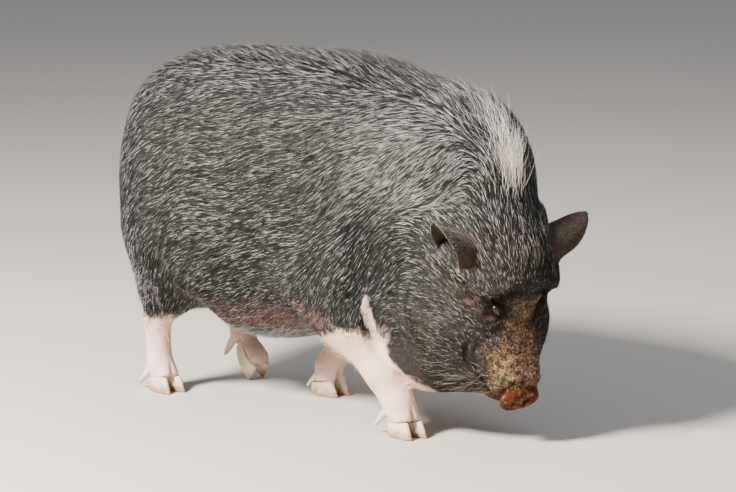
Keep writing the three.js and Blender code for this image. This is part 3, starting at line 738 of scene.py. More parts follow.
def shape_face(skin, strength):
    """Folds the face, opens the lids and forms the snout, and returns the shade painted into its creases."""
    fine = [(on_head((50, -80, -35), mirror), 28) for mirror in BOTH]
    fine += [(SNOUT, 48), (on_head((92, 0, -20)), 38)]
    fine += [(EYES[side], 36) for side in SIDES]
    subdivided(skin, near_any(coordinates(skin.data), fine))
    subdivided(skin, near_any(coordinates(skin.data), [(EYES[side], 17) for side in SIDES]))
    co = coordinates(skin.data)
    soft = near_any(co, [(centre, radius + 4) for centre, radius in fine]) * 0.5
    set_coordinates(skin.data, relaxed(co, edges_of(skin.data), soft, 4))
    clay = Sculptor(skin)
    for mirror, size in zip(BOTH, (1, LEFT_PADS)):
        for place, radii, height in FACE_PADS:
            clay.bulge(on_head(place, mirror), radii, height * strength * size)
    clay.settle()
    for mirror in BOTH:
        for places, width, depth, lip, over in FACE_FOLDS:
            line = [on_head(place, mirror) for place in places]
            clay.fold(line, width, depth * strength, lip * strength, over * mirror)
        for places, width, depth, lip in BODY_FOLDS:
            line = [np.array(p) * (1, mirror, 1) * MM for p in places]
            clay.fold(line, width, depth * strength, lip * strength, shadow=0.2)
        clay.settle()
    tuck = 24 * MM * within(clay.co, (-190, 0, 128), (34, 190, 42), 0.8)  # the belly rises before the hams
    clay.co[:, 2] += tuck
    for leg in LEGS:
        shape_foot(clay, leg)
    clay.co = relaxed(clay.co, edges_of(skin.data), soft * 0.8, 2)
    clay.settle()
    shape_snout(clay, strength)
    for side in SIDES:
        shape_eye(clay, side)
    clay.settle()
    return clay.crease


def shape_foot(clay, leg):
    """Parts the toes of a standing foot in front and draws the flesh in above the claws. Shade is painted
    into the cleft between the toes.
    """
    outer, inner = middle(f"hoof_{leg}_outer"), middle(f"hoof_{leg}_inner")
    top = float(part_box(f"hoof_{leg}_outer")[1].z)
    across = unit((outer - inner) * (1, 1, 0))
    ahead = np.cross(across, (0, 0, 1))
    ahead = ahead * (1 if ahead[0] > 0 else -1)
    gap = (clay.co - (outer + inner) / 2) / MM
    along, aside = gap @ ahead, gap @ across
    height = (clay.co[:, 2] - top) / MM
    near = (np.hypot(along, aside) < 62) & (height < 50) & (top < 0.04)
    narrow = 0.08 * fade(along, -10, 10) * (1 - fade(height, 4, 30))
    cleft = 5 * np.exp(-((aside / 3.2) ** 2)) * fade(along, -6, 8) * (1 - fade(height, 2, 30))
    move = ahead * (-narrow * along - cleft)[:, None] - across * (narrow * aside)[:, None]
    clay.co[near] += move[near] * MM
    clay.paint_shade(near, (0.5 * cleft / 5)[near])


def shape_snout(clay, strength):
    """A raised rim round the bare end of the snout, a groove behind it, and deep nostrils, with shade painted
    into the nostrils and the groove.
    """
    facing = unit(head_turn((0.951, 0, 0.309)))
    raised = np.cross(facing, LEFTWARDS)
    gap = (clay.co - SNOUT) / MM
    ahead, left, up = gap @ facing, gap @ LEFTWARDS, gap @ raised
    out = np.hypot(left / 33, up / 26)
    here = (np.abs(ahead) < 30) & (out < 1.6)
    rim = np.exp(-(((out - 0.86) / 0.12) ** 2)) * fade(ahead, -3, 3)
    groove = np.exp(-(((ahead + 9) / 3.2) ** 2)) * fade(out, 0.75, 0.95)
    hollow = (1 - fade(out, 0.35, 0.8)) * fade(ahead, -2, 3)
    move = np.where(here, 1.3 * rim - 1.1 * hollow, 0)[:, None] * facing
    move = move - clay.normal * np.where(here, 3.0 * groove, 0)[:, None]
    for turn in SIDES.values():
        hole = np.hypot((left - turn * 12.5) / 5.8, (up + 1) / 7.6)
        depth = (1 - fade(hole, 0.35, 1.05)) * fade(ahead, -14, 0)
        lip = np.exp(-(((hole - 1.35) / 0.3) ** 2)) * fade(ahead, -3, 3)
        move = move + np.where(here, 1.2 * lip - 11 * depth, 0)[:, None] * facing
        clay.paint_shade(here, depth[here])
    clay.paint_shade(here, 0.6 * groove[here])
    clay.co += move * MM * strength
    clay.settle()


def shape_eye(clay, side):
    """Wraps thick lids round the ball, with an almond opening over it, and paints shade round the opening."""
    centre, gaze = EYES[side], gaze_of(side)
    inner = head_turn((0.9, -0.42, -0.1), SIDES[side])  # towards the inner corner
    inner = unit(inner - gaze * (inner @ gaze))
    above = np.cross(gaze, inner)
    above = above * (1 if above @ (UPWARDS - FORWARD) > 0 else -1)
    gap = (clay.co - centre) / MM
    reach = np.linalg.norm(gap, axis=1)
    u, v, w = gap @ inner, gap @ above, gap @ gaze
    ball = EYE_RADIUS / MM
    bow = (1 - (u / 10.5) ** 2).clip(-1, 1)
    past = np.maximum(v - 4.6 * bow, -4.4 * bow - v)  # how far beyond the edge of either lid
    near = (reach < 34) & (w > -3)
    lid = ball + 1.1 + 1.1 * np.exp(-(((past - 2.2) / 1.5) ** 2)) + 0.9 * fade(past, 3, 12)
    crease = 1.4 * np.exp(-(((past - 5.6) / 1.1) ** 2))
    target = np.where(past < 0, ball - 2.4 * fade(-past, 0, 1.2), lid - crease)
    share = 1 - fade(past, 5, 13)
    new = reach * (1 - share) + target * share
    clay.paint_shade(near, (np.exp(-((past / 1.6) ** 2)) + 0.55 * (1 - fade(past, 4, 16)))[near])
    clay.co[near] = (centre + gap / reach[:, None].clip(1e-6) * new[:, None] * MM)[near]


EAR_DETAIL = 0.0012  # mesh size of the ears


def fine_ear(side):
    """One ear as a thin even shell, its places, and how near each is to the rim."""
    ear = remeshed(joined_copy([f"ear_{side}"], f"ear_shell_{side}"), EAR_DETAIL)
    edges = edges_of(ear.data)
    co = relaxed(coordinates(ear.data), edges, 0.5, 5)
    set_coordinates(ear.data, co)
    shrunk = np.linalg.norm(relaxed(co, edges, 0.5, 12) - co, axis=1)
    rim = relaxed(fade(shrunk, 0.0004, 0.0009)[:, None], edges, 0.5, 2)[:, 0]
    return ear, (co, rim)


def united(obj, other):
    """Adds the closed mesh of other to obj, and removes other."""
    only(obj)
    step = obj.modifiers.new("union", "BOOLEAN")
    step.operation, step.solver, step.object = "UNION", "MANIFOLD", other
    bpy.ops.object.modifier_apply(modifier=step.name)
    bpy.data.objects.remove(other)


def make_skin(settings):
    """One even skin over the flesh, drawn in by the depth of the coat, with ears, folds, lids and snout."""
    skin = joined_copy([n for n in FLESH if not n.startswith("ear")] + ["eye_right", "eye_left"], "skin")
    remeshed(skin, settings.skin_detail)
    mesh = skin.data
    co = coordinates(mesh)
    forward = head_places(co)[:, 0]
    smooth = 0.5 * (1 - 0.55 * fade(forward, -150, -60)) * (1 - 0.5 * fade(forward, 90, 125))
    smooth *= 1 - 0.55 * (fade(co[:, 2], 0.14, 0.1) * off_belly(co))
    edges = edges_of(mesh)
    co = relaxed(co, edges, smooth, 14)
    set_coordinates(mesh, co)
    co = co - normals(mesh) * coat_depth(co, settings.coat_depth)[:, None]
    co = relaxed(co, edges, smooth * 0.6, 3)
    set_coordinates(mesh, co)
    for region, keep in KEPT:
        thin(skin, region(coordinates(mesh)), keep)
    shells = {}
    for side in SIDES:
        ear, shells[side] = fine_ear(side)
        united(skin, ear)
    crease = shape_face(skin, settings.fold_depth).clip(0, 1)
    mark_bare(skin, shells)
    # the shade painted into creases, nostrils, toe clefts and round the lids, read by the skin's material
    store(skin.data, "crease", crease)
    return skin


def mark_bare(skin, shells):
    """Stores on the skin which parts are ear, its rim, and which carry no bristles."""
    co = coordinates(skin.data)
    ear = np.zeros(len(co))
    rim = np.zeros(len(co))
    for side, (shell, edge) in shells.items():
        tree = tree_of(shell)
        low, high = (np.array(v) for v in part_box(f"ear_{side}"))
        near = np.nonzero(((co > low - 0.008) & (co < high + 0.008)).all(1))[0]
        found = [tree.find(Vector(p)) for p in co[near]]
        ear[near] = 1 - fade(np.array([f[2] for f in found]), 0.003, 0.009)
        rim[near] = edge[[f[1] for f in found]] * ear[near]
    bare = np.maximum(ear, round_place(co, SNOUT, 40, 0.15))
    for side in SIDES:
        bare = np.maximum(bare, round_place(co, EYES[side], 12, 0.2))
    for key, data in (("ear", ear), ("rim", rim), ("bare", bare)):
        store(skin.data, key, data)


def thin(obj, where, keep):
    """Leaves this share of the triangles where the mask is true, and all of them elsewhere."""
    only(obj)
    group = obj.vertex_groups.new(name="thin")
    group.add(np.nonzero(where)[0].tolist(), 1.0, "REPLACE")
    step = obj.modifiers.new("thin", "DECIMATE")
    step.ratio, step.vertex_group = 1 - (1 - keep) * where.mean(), group.name
    bpy.ops.object.modifier_apply(modifier=step.name)
    obj.vertex_groups.clear()


def on_legs(points):
    return (points[:, 2] < 0.13) & (head_places(points)[:, 0] < -90) & ~on_belly(points)


def on_belly(points):
    return np.linalg.norm((points / MM - (-40, 0, 110)) / (190, 130, 62), axis=1) < 1


def on_body(points):
    return (head_places(points)[:, 0] < -100) & ~on_legs(points)


def on_plain_head(points):
    """The parts of the head that carry no folds."""
    places = [(on_head(place, mirror), 20) for mirror in BOTH for fold in FACE_FOLDS for place in fold[0]]
    folded = near_any(points, places + [(EYES[side], 40) for side in SIDES])
    forward = head_places(points)[:, 0]
    return (forward > -100) & (forward < 60) & ~folded


KEPT = ((on_body, 0.22), (on_plain_head, 0.42), (on_legs, 0.6))  # the share of triangles each region keeps


# Coat.

# Which way the bristles lie: (place in millimetres on the right side, way they point). The left mirrors it.
LIE_OF_BODY = (
    ((0, 0, 560), (-1, 0, 0)),
    ((-200, 0, 560), (-1, 0, -0.1)),
    ((160, 0, 540), (-1, 0, 0.1)),
    ((260, 0, 510), (-1, 0, 0.35)),
    ((330, -20, 460), (-0.7, 0, 0.6)),
    ((200, -120, 480), (-1, -0.25, -0.45)),
    ((0, -140, 500), (-1, -0.2, -0.25)),
    ((-200, -140, 480), (-1, -0.2, -0.35)),
    ((-330, -60, 480), (-0.7, -0.2, -0.9)),
    ((-380, -60, 380), (-0.2, -0.2, -1)),
    ((-360, -130, 330), (-0.35, -0.1, -1)),
    ((-300, -180, 300), (-0.5, 0, -1)),
    ((-200, -190, 330), (-1, 0, -0.55)),
    ((-80, -200, 330), (-1, 0, -0.3)),
    ((60, -200, 330), (-1, 0, -0.4)),
    ((160, -180, 350), (-0.9, 0, -0.75)),
    ((250, -140, 400), (-0.8, -0.3, -0.8)),
    ((300, -110, 400), (-0.75, -0.35, -0.7)),
    ((200, -160, 240), (-0.75, 0, -0.9)),
    ((130, -180, 200), (-0.4, 0, -1)),
    ((190, -150, 150), (-0.15, 0, -1)),
    ((60, -190, 200), (-1, 0, -0.5)),
    ((-60, -170, 170), (-1, 0.1, -0.35)),
    ((-60, -60, 95), (-1, 0.35, 0)),
    ((120, -60, 110), (-0.8, 0.3, 0)),
    ((-290, -160, 180), (-0.4, 0, -1)),
    ((-250, -120, 120), (-0.1, 0, -1)),
    ((-250, -105, 60), (0, 0, -1)),
    ((200, -118, 80), (0, 0, -1)),
    ((20, -70, 80), (0, 0, -1)),
    ((-400, 0, 400), (-0.1, 0, -1)),
    ((-395, 0, 260), (0, 0, -1)),
    ((250, 0, 180), (-0.5, 0, -0.9)),
)
LIE_OF_HEAD = (  # (forward, left, up) in millimetres from the brow, and the way in the same axes
    ((130, 0, 0), (-1, 0, 0.15)),
    ((60, 0, 30), (-1, 0, 0.1)),
    ((0, 0, 50), (-1, 0, 0.1)),
    ((-90, 0, 60), (-1, 0, 0.05)),
    ((-150, 0, 55), (-1, 0, 0)),
    ((20, -45, 20), (-1, -0.35, -0.15)),
    ((70, -60, -30), (-1, -0.3, -0.4)),
    ((20, -95, -40), (-0.85, -0.25, -0.75)),
    ((-40, -80, 10), (-1, -0.3, -0.2)),
    ((-110, -90, 0), (-1, -0.3, -0.35)),
    ((-20, -120, -90), (-0.55, -0.2, -1)),
    ((60, -50, -90), (-0.7, -0.2, -0.7)),
    ((20, 0, -130), (-0.7, 0, -0.9)),
)
GUIDE_REACH = 0.075  # metres over which one guide gives way to the next


def lie_guides():
    """Every guide place and way, both sides, in metres in the frame's axes."""
    places, ways = [], []
    for mirror in BOTH:
        for place, way in LIE_OF_BODY:
            places.append(np.array(place) * (1, mirror, 1) * MM)
            ways.append(unit(np.array(way, float) * (1, mirror, 1)))
        for place, way in LIE_OF_HEAD:
            places.append(on_head(place, mirror))
            ways.append(unit(head_turn(way, mirror)))
    return np.array(places), np.array(ways)


def laid_flat(way, normal):
    """Each way pressed flat on the skin, with a length of one."""
    way = way - normal * (way * normal).sum(1)[:, None]
    return way / np.linalg.norm(way, axis=1)[:, None].clip(1e-6)


def lie(points, normal):
    """The way the bristles point at each place, flat along the skin."""
    places, ways = lie_guides()
    way = np.zeros_like(points)
    total = np.zeros(len(points))
    for place, guide in zip(places, ways):
        gap2 = ((points - place) ** 2).sum(1) / (GUIDE_REACH**2)
        share = 1 / (0.05 + gap2) ** 2
        way += share[:, None] * guide
        total += share
    return laid_flat(way / total[:, None], normal)


def turned(way, normal, angle):
    """way turned about the normal."""
    return way * np.cos(angle)[:, None] + np.cross(normal, way) * np.sin(angle)[:, None]


class Surface:
    """The skin's triangles, for setting bristle roots on."""

    def __init__(self, obj):
        mesh = obj.data
        mesh.calc_loop_triangles()
        self.tri = read(mesh.loop_triangles, "vertices", 3, np.int32)
        self.co = coordinates(mesh)
        self.normal = normals(mesh)
        a, b, c = (self.co[self.tri[:, k]] for k in range(3))
        self.area = np.linalg.norm(np.cross(b - a, c - a), axis=1) / 2
        self.centre = (a + b + c) / 3
        self.marks = {}
        for key in ("bare", "ear", "rim"):
            value = read(mesh.attributes[key].data, "value", 1)[:, 0]
            self.marks[key] = value[self.tri].mean(1)

    def roots(self, count, density, rng):
        """count places spread by density (one number a triangle), with their normals."""
        share = np.cumsum(self.area * density)
        pick = (np.arange(count) + rng.random(count)) / count * share[-1]
        face = np.searchsorted(share, pick).clip(0, len(self.tri) - 1)
        u, v = rng.random(count), rng.random(count)
        flip = u + v > 1
        u[flip], v[flip] = 1 - u[flip], 1 - v[flip]
        a, b, c = self.tri[face].T

        def between(data):
            return data[a] * (1 - u - v)[:, None] + data[b] * u[:, None] + data[c] * v[:, None]

        normal = between(self.normal)
        return between(self.co), normal / np.linalg.norm(normal, axis=1)[:, None]


def regions(points):
    """Numbers that shape the coat at each place: how long, how raised, how wide and how dense."""
    head = head_places(points)
    spine = fade(points[:, 2], 0.4, 0.5) * (1 - fade(np.abs(points[:, 1] + 0.02), 0.03, 0.1))
    poll = fade(head[:, 0], -190, -110)
    face = fade(head[:, 0], -75, -15)
    cheek = fade(np.abs(head[:, 1]), 72, 92) * face
    muzzle = fade(head[:, 0], 20, 90)
    belly = within(points, (-60, 0, 85), (250, 110, 40))
    leg = np.zeros(len(points))
    for (x, y), (half_x, half_y), top in SLEEVES:
        off_axis = np.hypot((points[:, 0] / MM - x) / half_x, (points[:, 1] / MM - y) / half_y)
        leg = np.maximum(leg, fade(off_axis, 1.15, 0.9) * fade(points[:, 2] / MM, top, top - 40))
    foot = fade(points[:, 2], 0.07, 0.03)
    length = 1 - 0.22 * poll - 0.4 * face - 0.14 * muzzle + 0.1 * cheek
    length *= 1 - 0.68 * leg + 0.1 * leg * foot
    length += spine * (1 - poll) * 0.7
    lift = 0.13 + 0.2 * spine * (1 - 0.6 * poll) + 0.05 * belly + 0.08 * face - 0.07 * leg
    width = 1 - 0.1 * poll - 0.12 * face - 0.25 * muzzle
    width *= 1 - 0.45 * leg
    dense = 1 + 0.25 * poll + 0.75 * face + 0.5 * muzzle + 0.2 * leg - 0.4 * belly
    dense *= 1 - 0.75 * fade(head[:, 0], 96, 118)
    dense *= 1 - fade(head[:, 0], 112, 124)
    for side in SIDES:
        dense *= 1 - 0.5 * round_place(points, EYES[side], 24, 0.3)
    shape = {"length": length, "lift": lift, "width": width, "dense": dense}
    return {**shape, "spine": spine, "leg": leg, "face": face}


def unwrapped(points):
    """A place's spot on the unrolled body: along the spine, and round it."""
    axis_z = 0.31 - 0.35 * fade(points[:, 0], 0.2, 0.42)
    round_body = np.arctan2(points[:, 1], points[:, 2] - axis_z) / (2 * math.pi) + 0.5
    return np.stack([points[:, 0], round_body], 1)


def unrolled_leg(points):
    """The same for a leg: down it, and round its own middle, x and y. Each leg has a lane of its own."""
    x = np.select([points[:, 0] > 0.1, points[:, 0] > -0.13], [0.195, 0.0], -0.25)
    y = np.where(points[:, 1] < 0, np.where(points[:, 0] > 0, -0.118, -0.105), 0.07)
    turn = np.arctan2(points[:, 1] - y, points[:, 0] - x) / (2 * math.pi) + 0.5
    lane = np.select([points[:, 0] > 0.1, points[:, 0] > -0.13, points[:, 1] < 0], [0, 1, 2], 3)
    return np.stack([points[:, 2], (lane + turn * 0.96) / 4], 1)


PATCH = 0.0015  # half the size of one bristle's patch on the OFBake map, which is 1 wide


def bristles(name, root, normal, way, length, width, lift, shade, bend=None, unroll=unwrapped):
    """One mesh of closed pointed bristles. With bend, each droops along its length in three steps."""
    side = np.cross(normal, way)
    half = (width / 2)[:, None]
    rings = 1 if bend is None else 3

    def heading(step):
        angle = lift if bend is None else lift - bend * step / (rings - 1)
        return way * np.cos(angle)[:, None] + normal * np.sin(angle)[:, None]

    across = np.cross(side, heading(0))  # out from the bristle's back
    centre = root - normal * (width * 0.6)[:, None]
    points, faces, uv, along = [], [(0, 2, 1)], [], []
    for ring in range(rings):
        if ring:
            centre = centre + heading(ring - 1) * (length / rings)[:, None]
        thick = half * (1 - 0.27 * ring)
        points += [centre - side * thick, centre + side * thick, centre - across * thick * 1.1]
        share = 1 - ring / rings
        uv += [(-share, -0.9 * share), (share, -0.9 * share), (0, share)]
        along += [ring / rings] * 3
        for a, b in ((0, 1), (1, 2), (2, 0)):
            a, b = 3 * ring + a, 3 * ring + b
            faces += [(a, b, 3 * rings)] if ring == rings - 1 else [(a, b, b + 3), (a, b + 3, a + 3)]
    points.append(centre + heading(rings - 1) * (length / rings)[:, None])
    uv, along = np.array([*uv, (0, 0)]), np.array([*along, 1])
    each = len(points)
    vertices = np.stack(points, 1).reshape(-1, 3)
    low, high = (np.array(corner) for corner in CAD_BOX)
    vertices = np.clip(vertices, low, high)
    faces = np.array(faces)
    a, b, c, tip = (vertices[k] for k in (0, 1, 2, 3 * rings))
    if np.dot(np.cross(c - a, b - a), tip - a) > 0:  # the base must face away from the tip
        faces = faces[:, ::-1]
    count = len(root)
    triangles = (faces[None] + (np.arange(count) * each)[:, None, None]).reshape(-1, 3)
    place = unroll(root)
    place = (place - place.min(0)) / np.ptp(place, axis=0).clip(1e-6) * 0.99 + 0.005
    uv = (place[:, None] + uv[None] * PATCH).reshape(-1, 2)
    values = {"root": np.repeat(root, each, axis=0), "shade": np.repeat(shade, each)}
    values["along"] = np.tile(along, count)
    return mesh_object(name, vertices, triangles, uv, values)


BODY_PARTS = ("rump", "flank", "shoulder", "neck", "face")


def body_part(points):
    """The number in BODY_PARTS of the coat piece that each root belongs to."""
    x = points[:, 0]
    on_face = (head_places(points)[:, 0] > -110) & (x > 0.2)
    return np.select([on_face, x < -0.2, x < 0.0, x < 0.15], [4, 0, 1, 2], 3)


CLUMP = 2  # bristles that lie together and share a tone
CLUMP_SPREAD = 3.6  # how far its roots stray along the coat, in millimetres
TONE = 0.19  # how silver most clumps are
TONE_SPREAD = 0.34  # and how far they differ


def make_coat(skin, settings):
    """Covers the skin in bristles, split into pieces by part and side."""
    surface = Surface(skin)
    rng = np.random.default_rng(11)
    covered = (1 - surface.marks["bare"]).clip(0, 1)
    density = regions(surface.centre)["dense"] * covered
    root, normal = surface.roots(settings.bristles // CLUMP, density, rng)
    way = lie(root, normal)
    sway = 0.16 * ripple(root, 70, 3) + 0.1 * ripple(root, 22, 4) + rng.normal(0, 0.06, len(root))
    way = turned(way, normal, sway)
    tone = TONE + rng.normal(0, TONE_SPREAD, len(root))
    aside = root * (1, 0, 1) + np.abs(root) * (0, 1, 0)
    shape = regions(root)
    tone += 0.32 * within(aside, (244, 120, 415), (86, 110, 78), 0.7)  # painted sheen behind the ear, where the lie of the hair catches the light
    tone += 0.16 * within(aside, (-60, 0, 110), (220, 160, 60), 0.5)  # the belly
    tone -= 0.16 * within(aside, (290, 110, 115), (90, 60, 70), 0.5)  # the shade under the jowl
    # darker over the face; along the spine partly darker hair and partly painted shade, so the lit top of the
    # back is no brighter than the flanks
    tone -= 0.1 * shape["face"] + 0.12 * shape["spine"]
    root, normal, way, tone = (np.repeat(data, CLUMP, axis=0) for data in (root, normal, way, tone))
    shape = {key: np.repeat(data, CLUMP) for key, data in shape.items()}
    count = len(root)
    spread = 1 - 0.6 * shape["face"]
    across = rng.normal(0, 0.26, count) * spread
    side = np.cross(normal, way)
    ahead = rng.normal(0, CLUMP_SPREAD, count) * spread
    root = root + (side * across[:, None] + way * ahead[:, None]) * MM
    way = turned(way, normal, -0.05 * across + rng.normal(0, 0.05, count))
    length = settings.length * shape["length"] * rng.uniform(0.65, 1.2, count)
    width = settings.width * shape["width"] * rng.uniform(0.7, 1.25, count)
    lift = shape["lift"] * rng.uniform(0.45, 1.35, count)
    shade = (tone + rng.normal(0, 0.07, count)).clip(0, 1)
    part = body_part(root)
    right = root[:, 1] < 0
    leg = shape["leg"] > 0.5
    pieces = []
    for number, label in enumerate(BODY_PARTS):
        for side, on_side in (("right", right), ("left", ~right)):
            pieces.append((f"coat_{label}_{side}", on_side & (part == number) & ~leg, unwrapped))
    pieces.append(("coat_legs", leg, unrolled_leg))
    hair = (root, normal, way, length, width, lift, shade)
    return [bristles(name, *(data[mine] for data in hair), unroll=unroll) for name, mine, unroll in pieces]


# Longer hairs: place and radii in millimetres, how many, length in millimetres, the way they point, lift and
# bend in radians, and the least and most of their shade. Those of the head are measured from the brow, in its
# own axes; those of the body from the frame's origin. All but those along the middle are mirrored.
HEAD_HAIRS = (
    ((14, -20, 20), (26, 12, 16), 44, 13, (0.5, -0.5, 0.1), 0.4, 0.6, 0.5, 1.5),
    ((-14, -46, 18), (12, 20, 12), 26, 12, (0.5, -0.5, 0.2), 0.6, 0.9, 0.2, 1.2),
    ((84, -58, -46), (34, 16, 20), 26, 24, (-0.6, -0.5, -0.5), 0.75, 0.9, 0.7, 1.5),
    ((56, -70, -74), (52, 34, 26), 60, 28, (-0.7, -0.4, -0.8), 0.5, 0.6, 0.2, 1.3),
    ((14, -108, -54), (34, 20, 40), 60, 26, (-0.8, -0.5, -0.5), 0.35, 0.4, 0.3, 1.2),
    ((112, -30, -66), (24, 26, 16), 30, 22, (-0.3, -0.7, -0.6), 0.7, 0.7, 0.7, 1.5),
    ((104, -16, -12), (22, 26, 16), 40, 7, (-0.9, -0.3, 0.3), 0.8, 0.4, 0.4, 1.4),
)
BODY_HAIRS = (
    ((362, -26, 412), (30, 27, 58), 230, 58, (-0.55, -0.05, 0.8), 0.62, 0.6, 1.8, 2.2),
    ((336, -24, 462), (40, 27, 34), 80, 50, (-0.75, 0, 0.6), 0.55, 0.5, 0.7, 1.9),
    ((310, -20, 490), (70, 54, 50), 660, 38, (-0.8, 0, 0.5), 0.42, 0.4, 0.0, 0.7),
    ((190, -8, 540), (150, 60, 30), 1700, 42, (-1, 0, 0.1), 0.4, 0.4, 0.0, 0.5),
    ((-60, 0, 556), (170, 60, 30), 1700, 38, (-1, 0, 0), 0.36, 0.38, 0.0, 0.5),
    ((-270, 0, 520), (110, 60, 46), 1100, 36, (-1, 0, -0.3), 0.28, 0.3, 0.0, 0.55),
    ((-374, 18, 250), (22, 20, 36), 520, 46, (-0.25, 0, -1), 0.22, 0.2, 0.0, 0.6),
    ((30, -100, 100), (120, 60, 34), 500, 30, (-0.8, -0.1, -0.5), 0.3, 0.3, 0.3, 1.3),
    ((-120, -90, 92), (120, 60, 30), 500, 28, (-0.8, 0, -0.5), 0.28, 0.3, 0.2, 1.2),
    ((-300, -160, 190), (60, 40, 60), 300, 28, (-0.7, -0.1, -0.8), 0.22, 0.2, 0.2, 1.1),
)


def long_hairs(surface, name, spots, settings, seed):
    """One mesh of the longer bent hairs of these spots, on both sides."""
    rng = np.random.default_rng(seed)
    on_face = spots is HEAD_HAIRS
    thick = settings.width * (0.42 if on_face else 0.62)
    gathered = []
    for place, radii, count, length, way, lift, bend, least, most in spots:
        paired = on_face or place[1] < -30
        for mirror in BOTH if paired else BOTH[:1]:
            turn = np.array((1, mirror, 1))
            if on_face:
                reach = (head_places(surface.centre) - place * turn) / radii
                toward = head_turn(way, mirror)
            else:
                reach = (surface.centre / MM - place * turn) / radii
                toward = np.array(way, float) * turn
            share = np.exp(-((np.linalg.norm(reach, axis=1) * 1.1) ** 4))
            share *= (1 - surface.marks["bare"]).clip(0, 1)
            root, normal = surface.roots(count, share, rng)
            aim = laid_flat(unit(toward) + rng.normal(0, 0.3, (count, 3)), normal)
            gathered.append((
                root,
                normal,
                aim,
                length * MM * rng.uniform(0.6, 1.15, count),
                thick * rng.uniform(0.7, 1.2, count),
                lift * rng.uniform(0.5, 1.3, count),
                rng.uniform(least, most, count),
                bend * rng.uniform(0.5, 1.3, count),
            ))
    return bristles(name, *(np.concatenate(data) for data in zip(*gathered)))


# Where on the ear, how many, length in millimetres, and the least and most of their shade.
EAR_HAIRS = (("ear", 6500, 4.5, 0.0, 0.6), ("rim", 600, 2.4, 0.5, 1.1))


def ear_hairs(surface, side, settings):
    """Short fine hair over an ear, and a pale fringe along its rim, painted as the highlight its edge
    catches.
    """
    rng = np.random.default_rng(31 + SIDES[side])
    on_side = surface.centre[:, 1] * SIDES[side] > 0
    gathered = []
    for key, count, length, least, most in EAR_HAIRS:
        share = surface.marks[key] * on_side
        root, normal = surface.roots(count, share * (share > 0.4), rng)
        along = laid_flat(unit(head_turn(EAR_REACH[side])) + rng.normal(0, 0.22, (count, 3)), normal)
        gathered.append((
            root,
            normal,
            along,
            length * MM * rng.uniform(0.6, 1.2, count),
            settings.width * 0.42 * rng.uniform(0.7, 1.2, count),
            rng.uniform(0.08, 0.4, count),
            rng.uniform(least, most, count),
        ))
    return bristles(f"ear_hair_{side}", *(np.concatenate(data) for data in zip(*gathered)))


# Eyes and claws.


def make_eye(side):
    """A smooth ball that fills its frame node, with the nearness to the line of sight stored on it."""
    bpy.ops.mesh.primitive_uv_sphere_add(
        segments=64, ring_count=40, radius=BALL_RADIUS, location=(0, 0, 0)
    )
    ball = bpy.context.object
    ball.name = ball.data.name = f"eyeball_{side}"
    co = coordinates(ball.data)
    store(ball.data, "sight", co @ gaze_of(side) / BALL_RADIUS)
    set_coordinates(ball.data, co + EYES[side])
    bpy.ops.object.shade_smooth()
    return ball


def eye_material():
    """A dark wet eye: black pupil, brown iris and a dull reddish white."""
    material, net, shader = new_material(
        "wet_eye", roughness=0.12, specular_ior_level=0.3, coat_weight=0.35, coat_roughness=0.04
    )
    place = net.add("TexCoord").outputs["Object"]
    sight = net.stored("sight")
    streaks = net.noise(place, 900, 3, 0.6)
    iris = net.blend(streaks, (0.012, 0.006, 0.003), (0.06, 0.026, 0.011))
    white = net.blend(streaks, (0.03, 0.014, 0.011), (0.085, 0.04, 0.03))
    colour = net.blend(net.fade(sight, 0.72, 0.78), white, iris)
    colour = net.blend(net.fade(sight, 0.93, 0.95), colour, (0.001, 0.001, 0.001))
    net.feed(shader.inputs["Base Color"], colour)
    return material


CLAW_DETAIL = 0.0013  # mesh size of the claws


def claw(name, leg):
    """One worn claw, with its root drawn out into the flesh of the leg."""
    made = remeshed(joined_copy([name], f"claw_{name}"), CLAW_DETAIL)
    co = relaxed(coordinates(made.data), edges_of(made.data), 0.5, 10)
    centre = co.mean(0)
    hoof = name.startswith("hoof")
    if hoof:
        axis = unit(middle(f"leg_{leg}") - centre)
    else:
        axis = np.linalg.svd(co - centre, full_matrices=False)[2][0]
        axis = axis * (1 if axis[2] > 0 else -1)
    along = (co - centre) @ axis
    off = np.linalg.norm(co - centre - along[:, None] * axis, axis=1) / MM
    share = along / along.max()
    if hoof:
        draw = 8 * fade(share, 0.3, 0.9) * (1 - fade(off, 7, 15))
    else:
        draw = 9 * fade(share, 0.1, 1)
    set_coordinates(made.data, co + axis * (draw * MM)[:, None])
    return made


RING_GAP = 4.2  # millimetres from one growth ring to the next


def make_claws(leg):
    """The two hooves and two dewclaws of a leg, ringed and chipped."""
    pieces = [claw(name, leg) for name in CLAWS if f"_{leg}_" in name]
    claws = only(pieces[0])
    for piece in pieces[1:]:
        piece.select_set(True)
    bpy.ops.object.join()
    claws.name = claws.data.name = f"claws_{leg}"
    co = coordinates(claws.data)
    turns = (co[:, 2] + 0.25 * co[:, 0]) / (RING_GAP * MM)
    rings = np.sin(turns * 2 * math.pi + 1.5 * ripple(co, 30, 5))
    chips = 0.5 * fade(ripple(co, 9, 6), 0.35, 1.2) * (1 - fade(co[:, 2], 0.004, 0.014))
    co = co - normals(claws.data) * ((0.16 * (1 - rings) + chips) * MM)[:, None]
    co[:, 2] = np.maximum(co[:, 2], 0.1 * MM)
    set_coordinates(claws.data, co)
    return claws


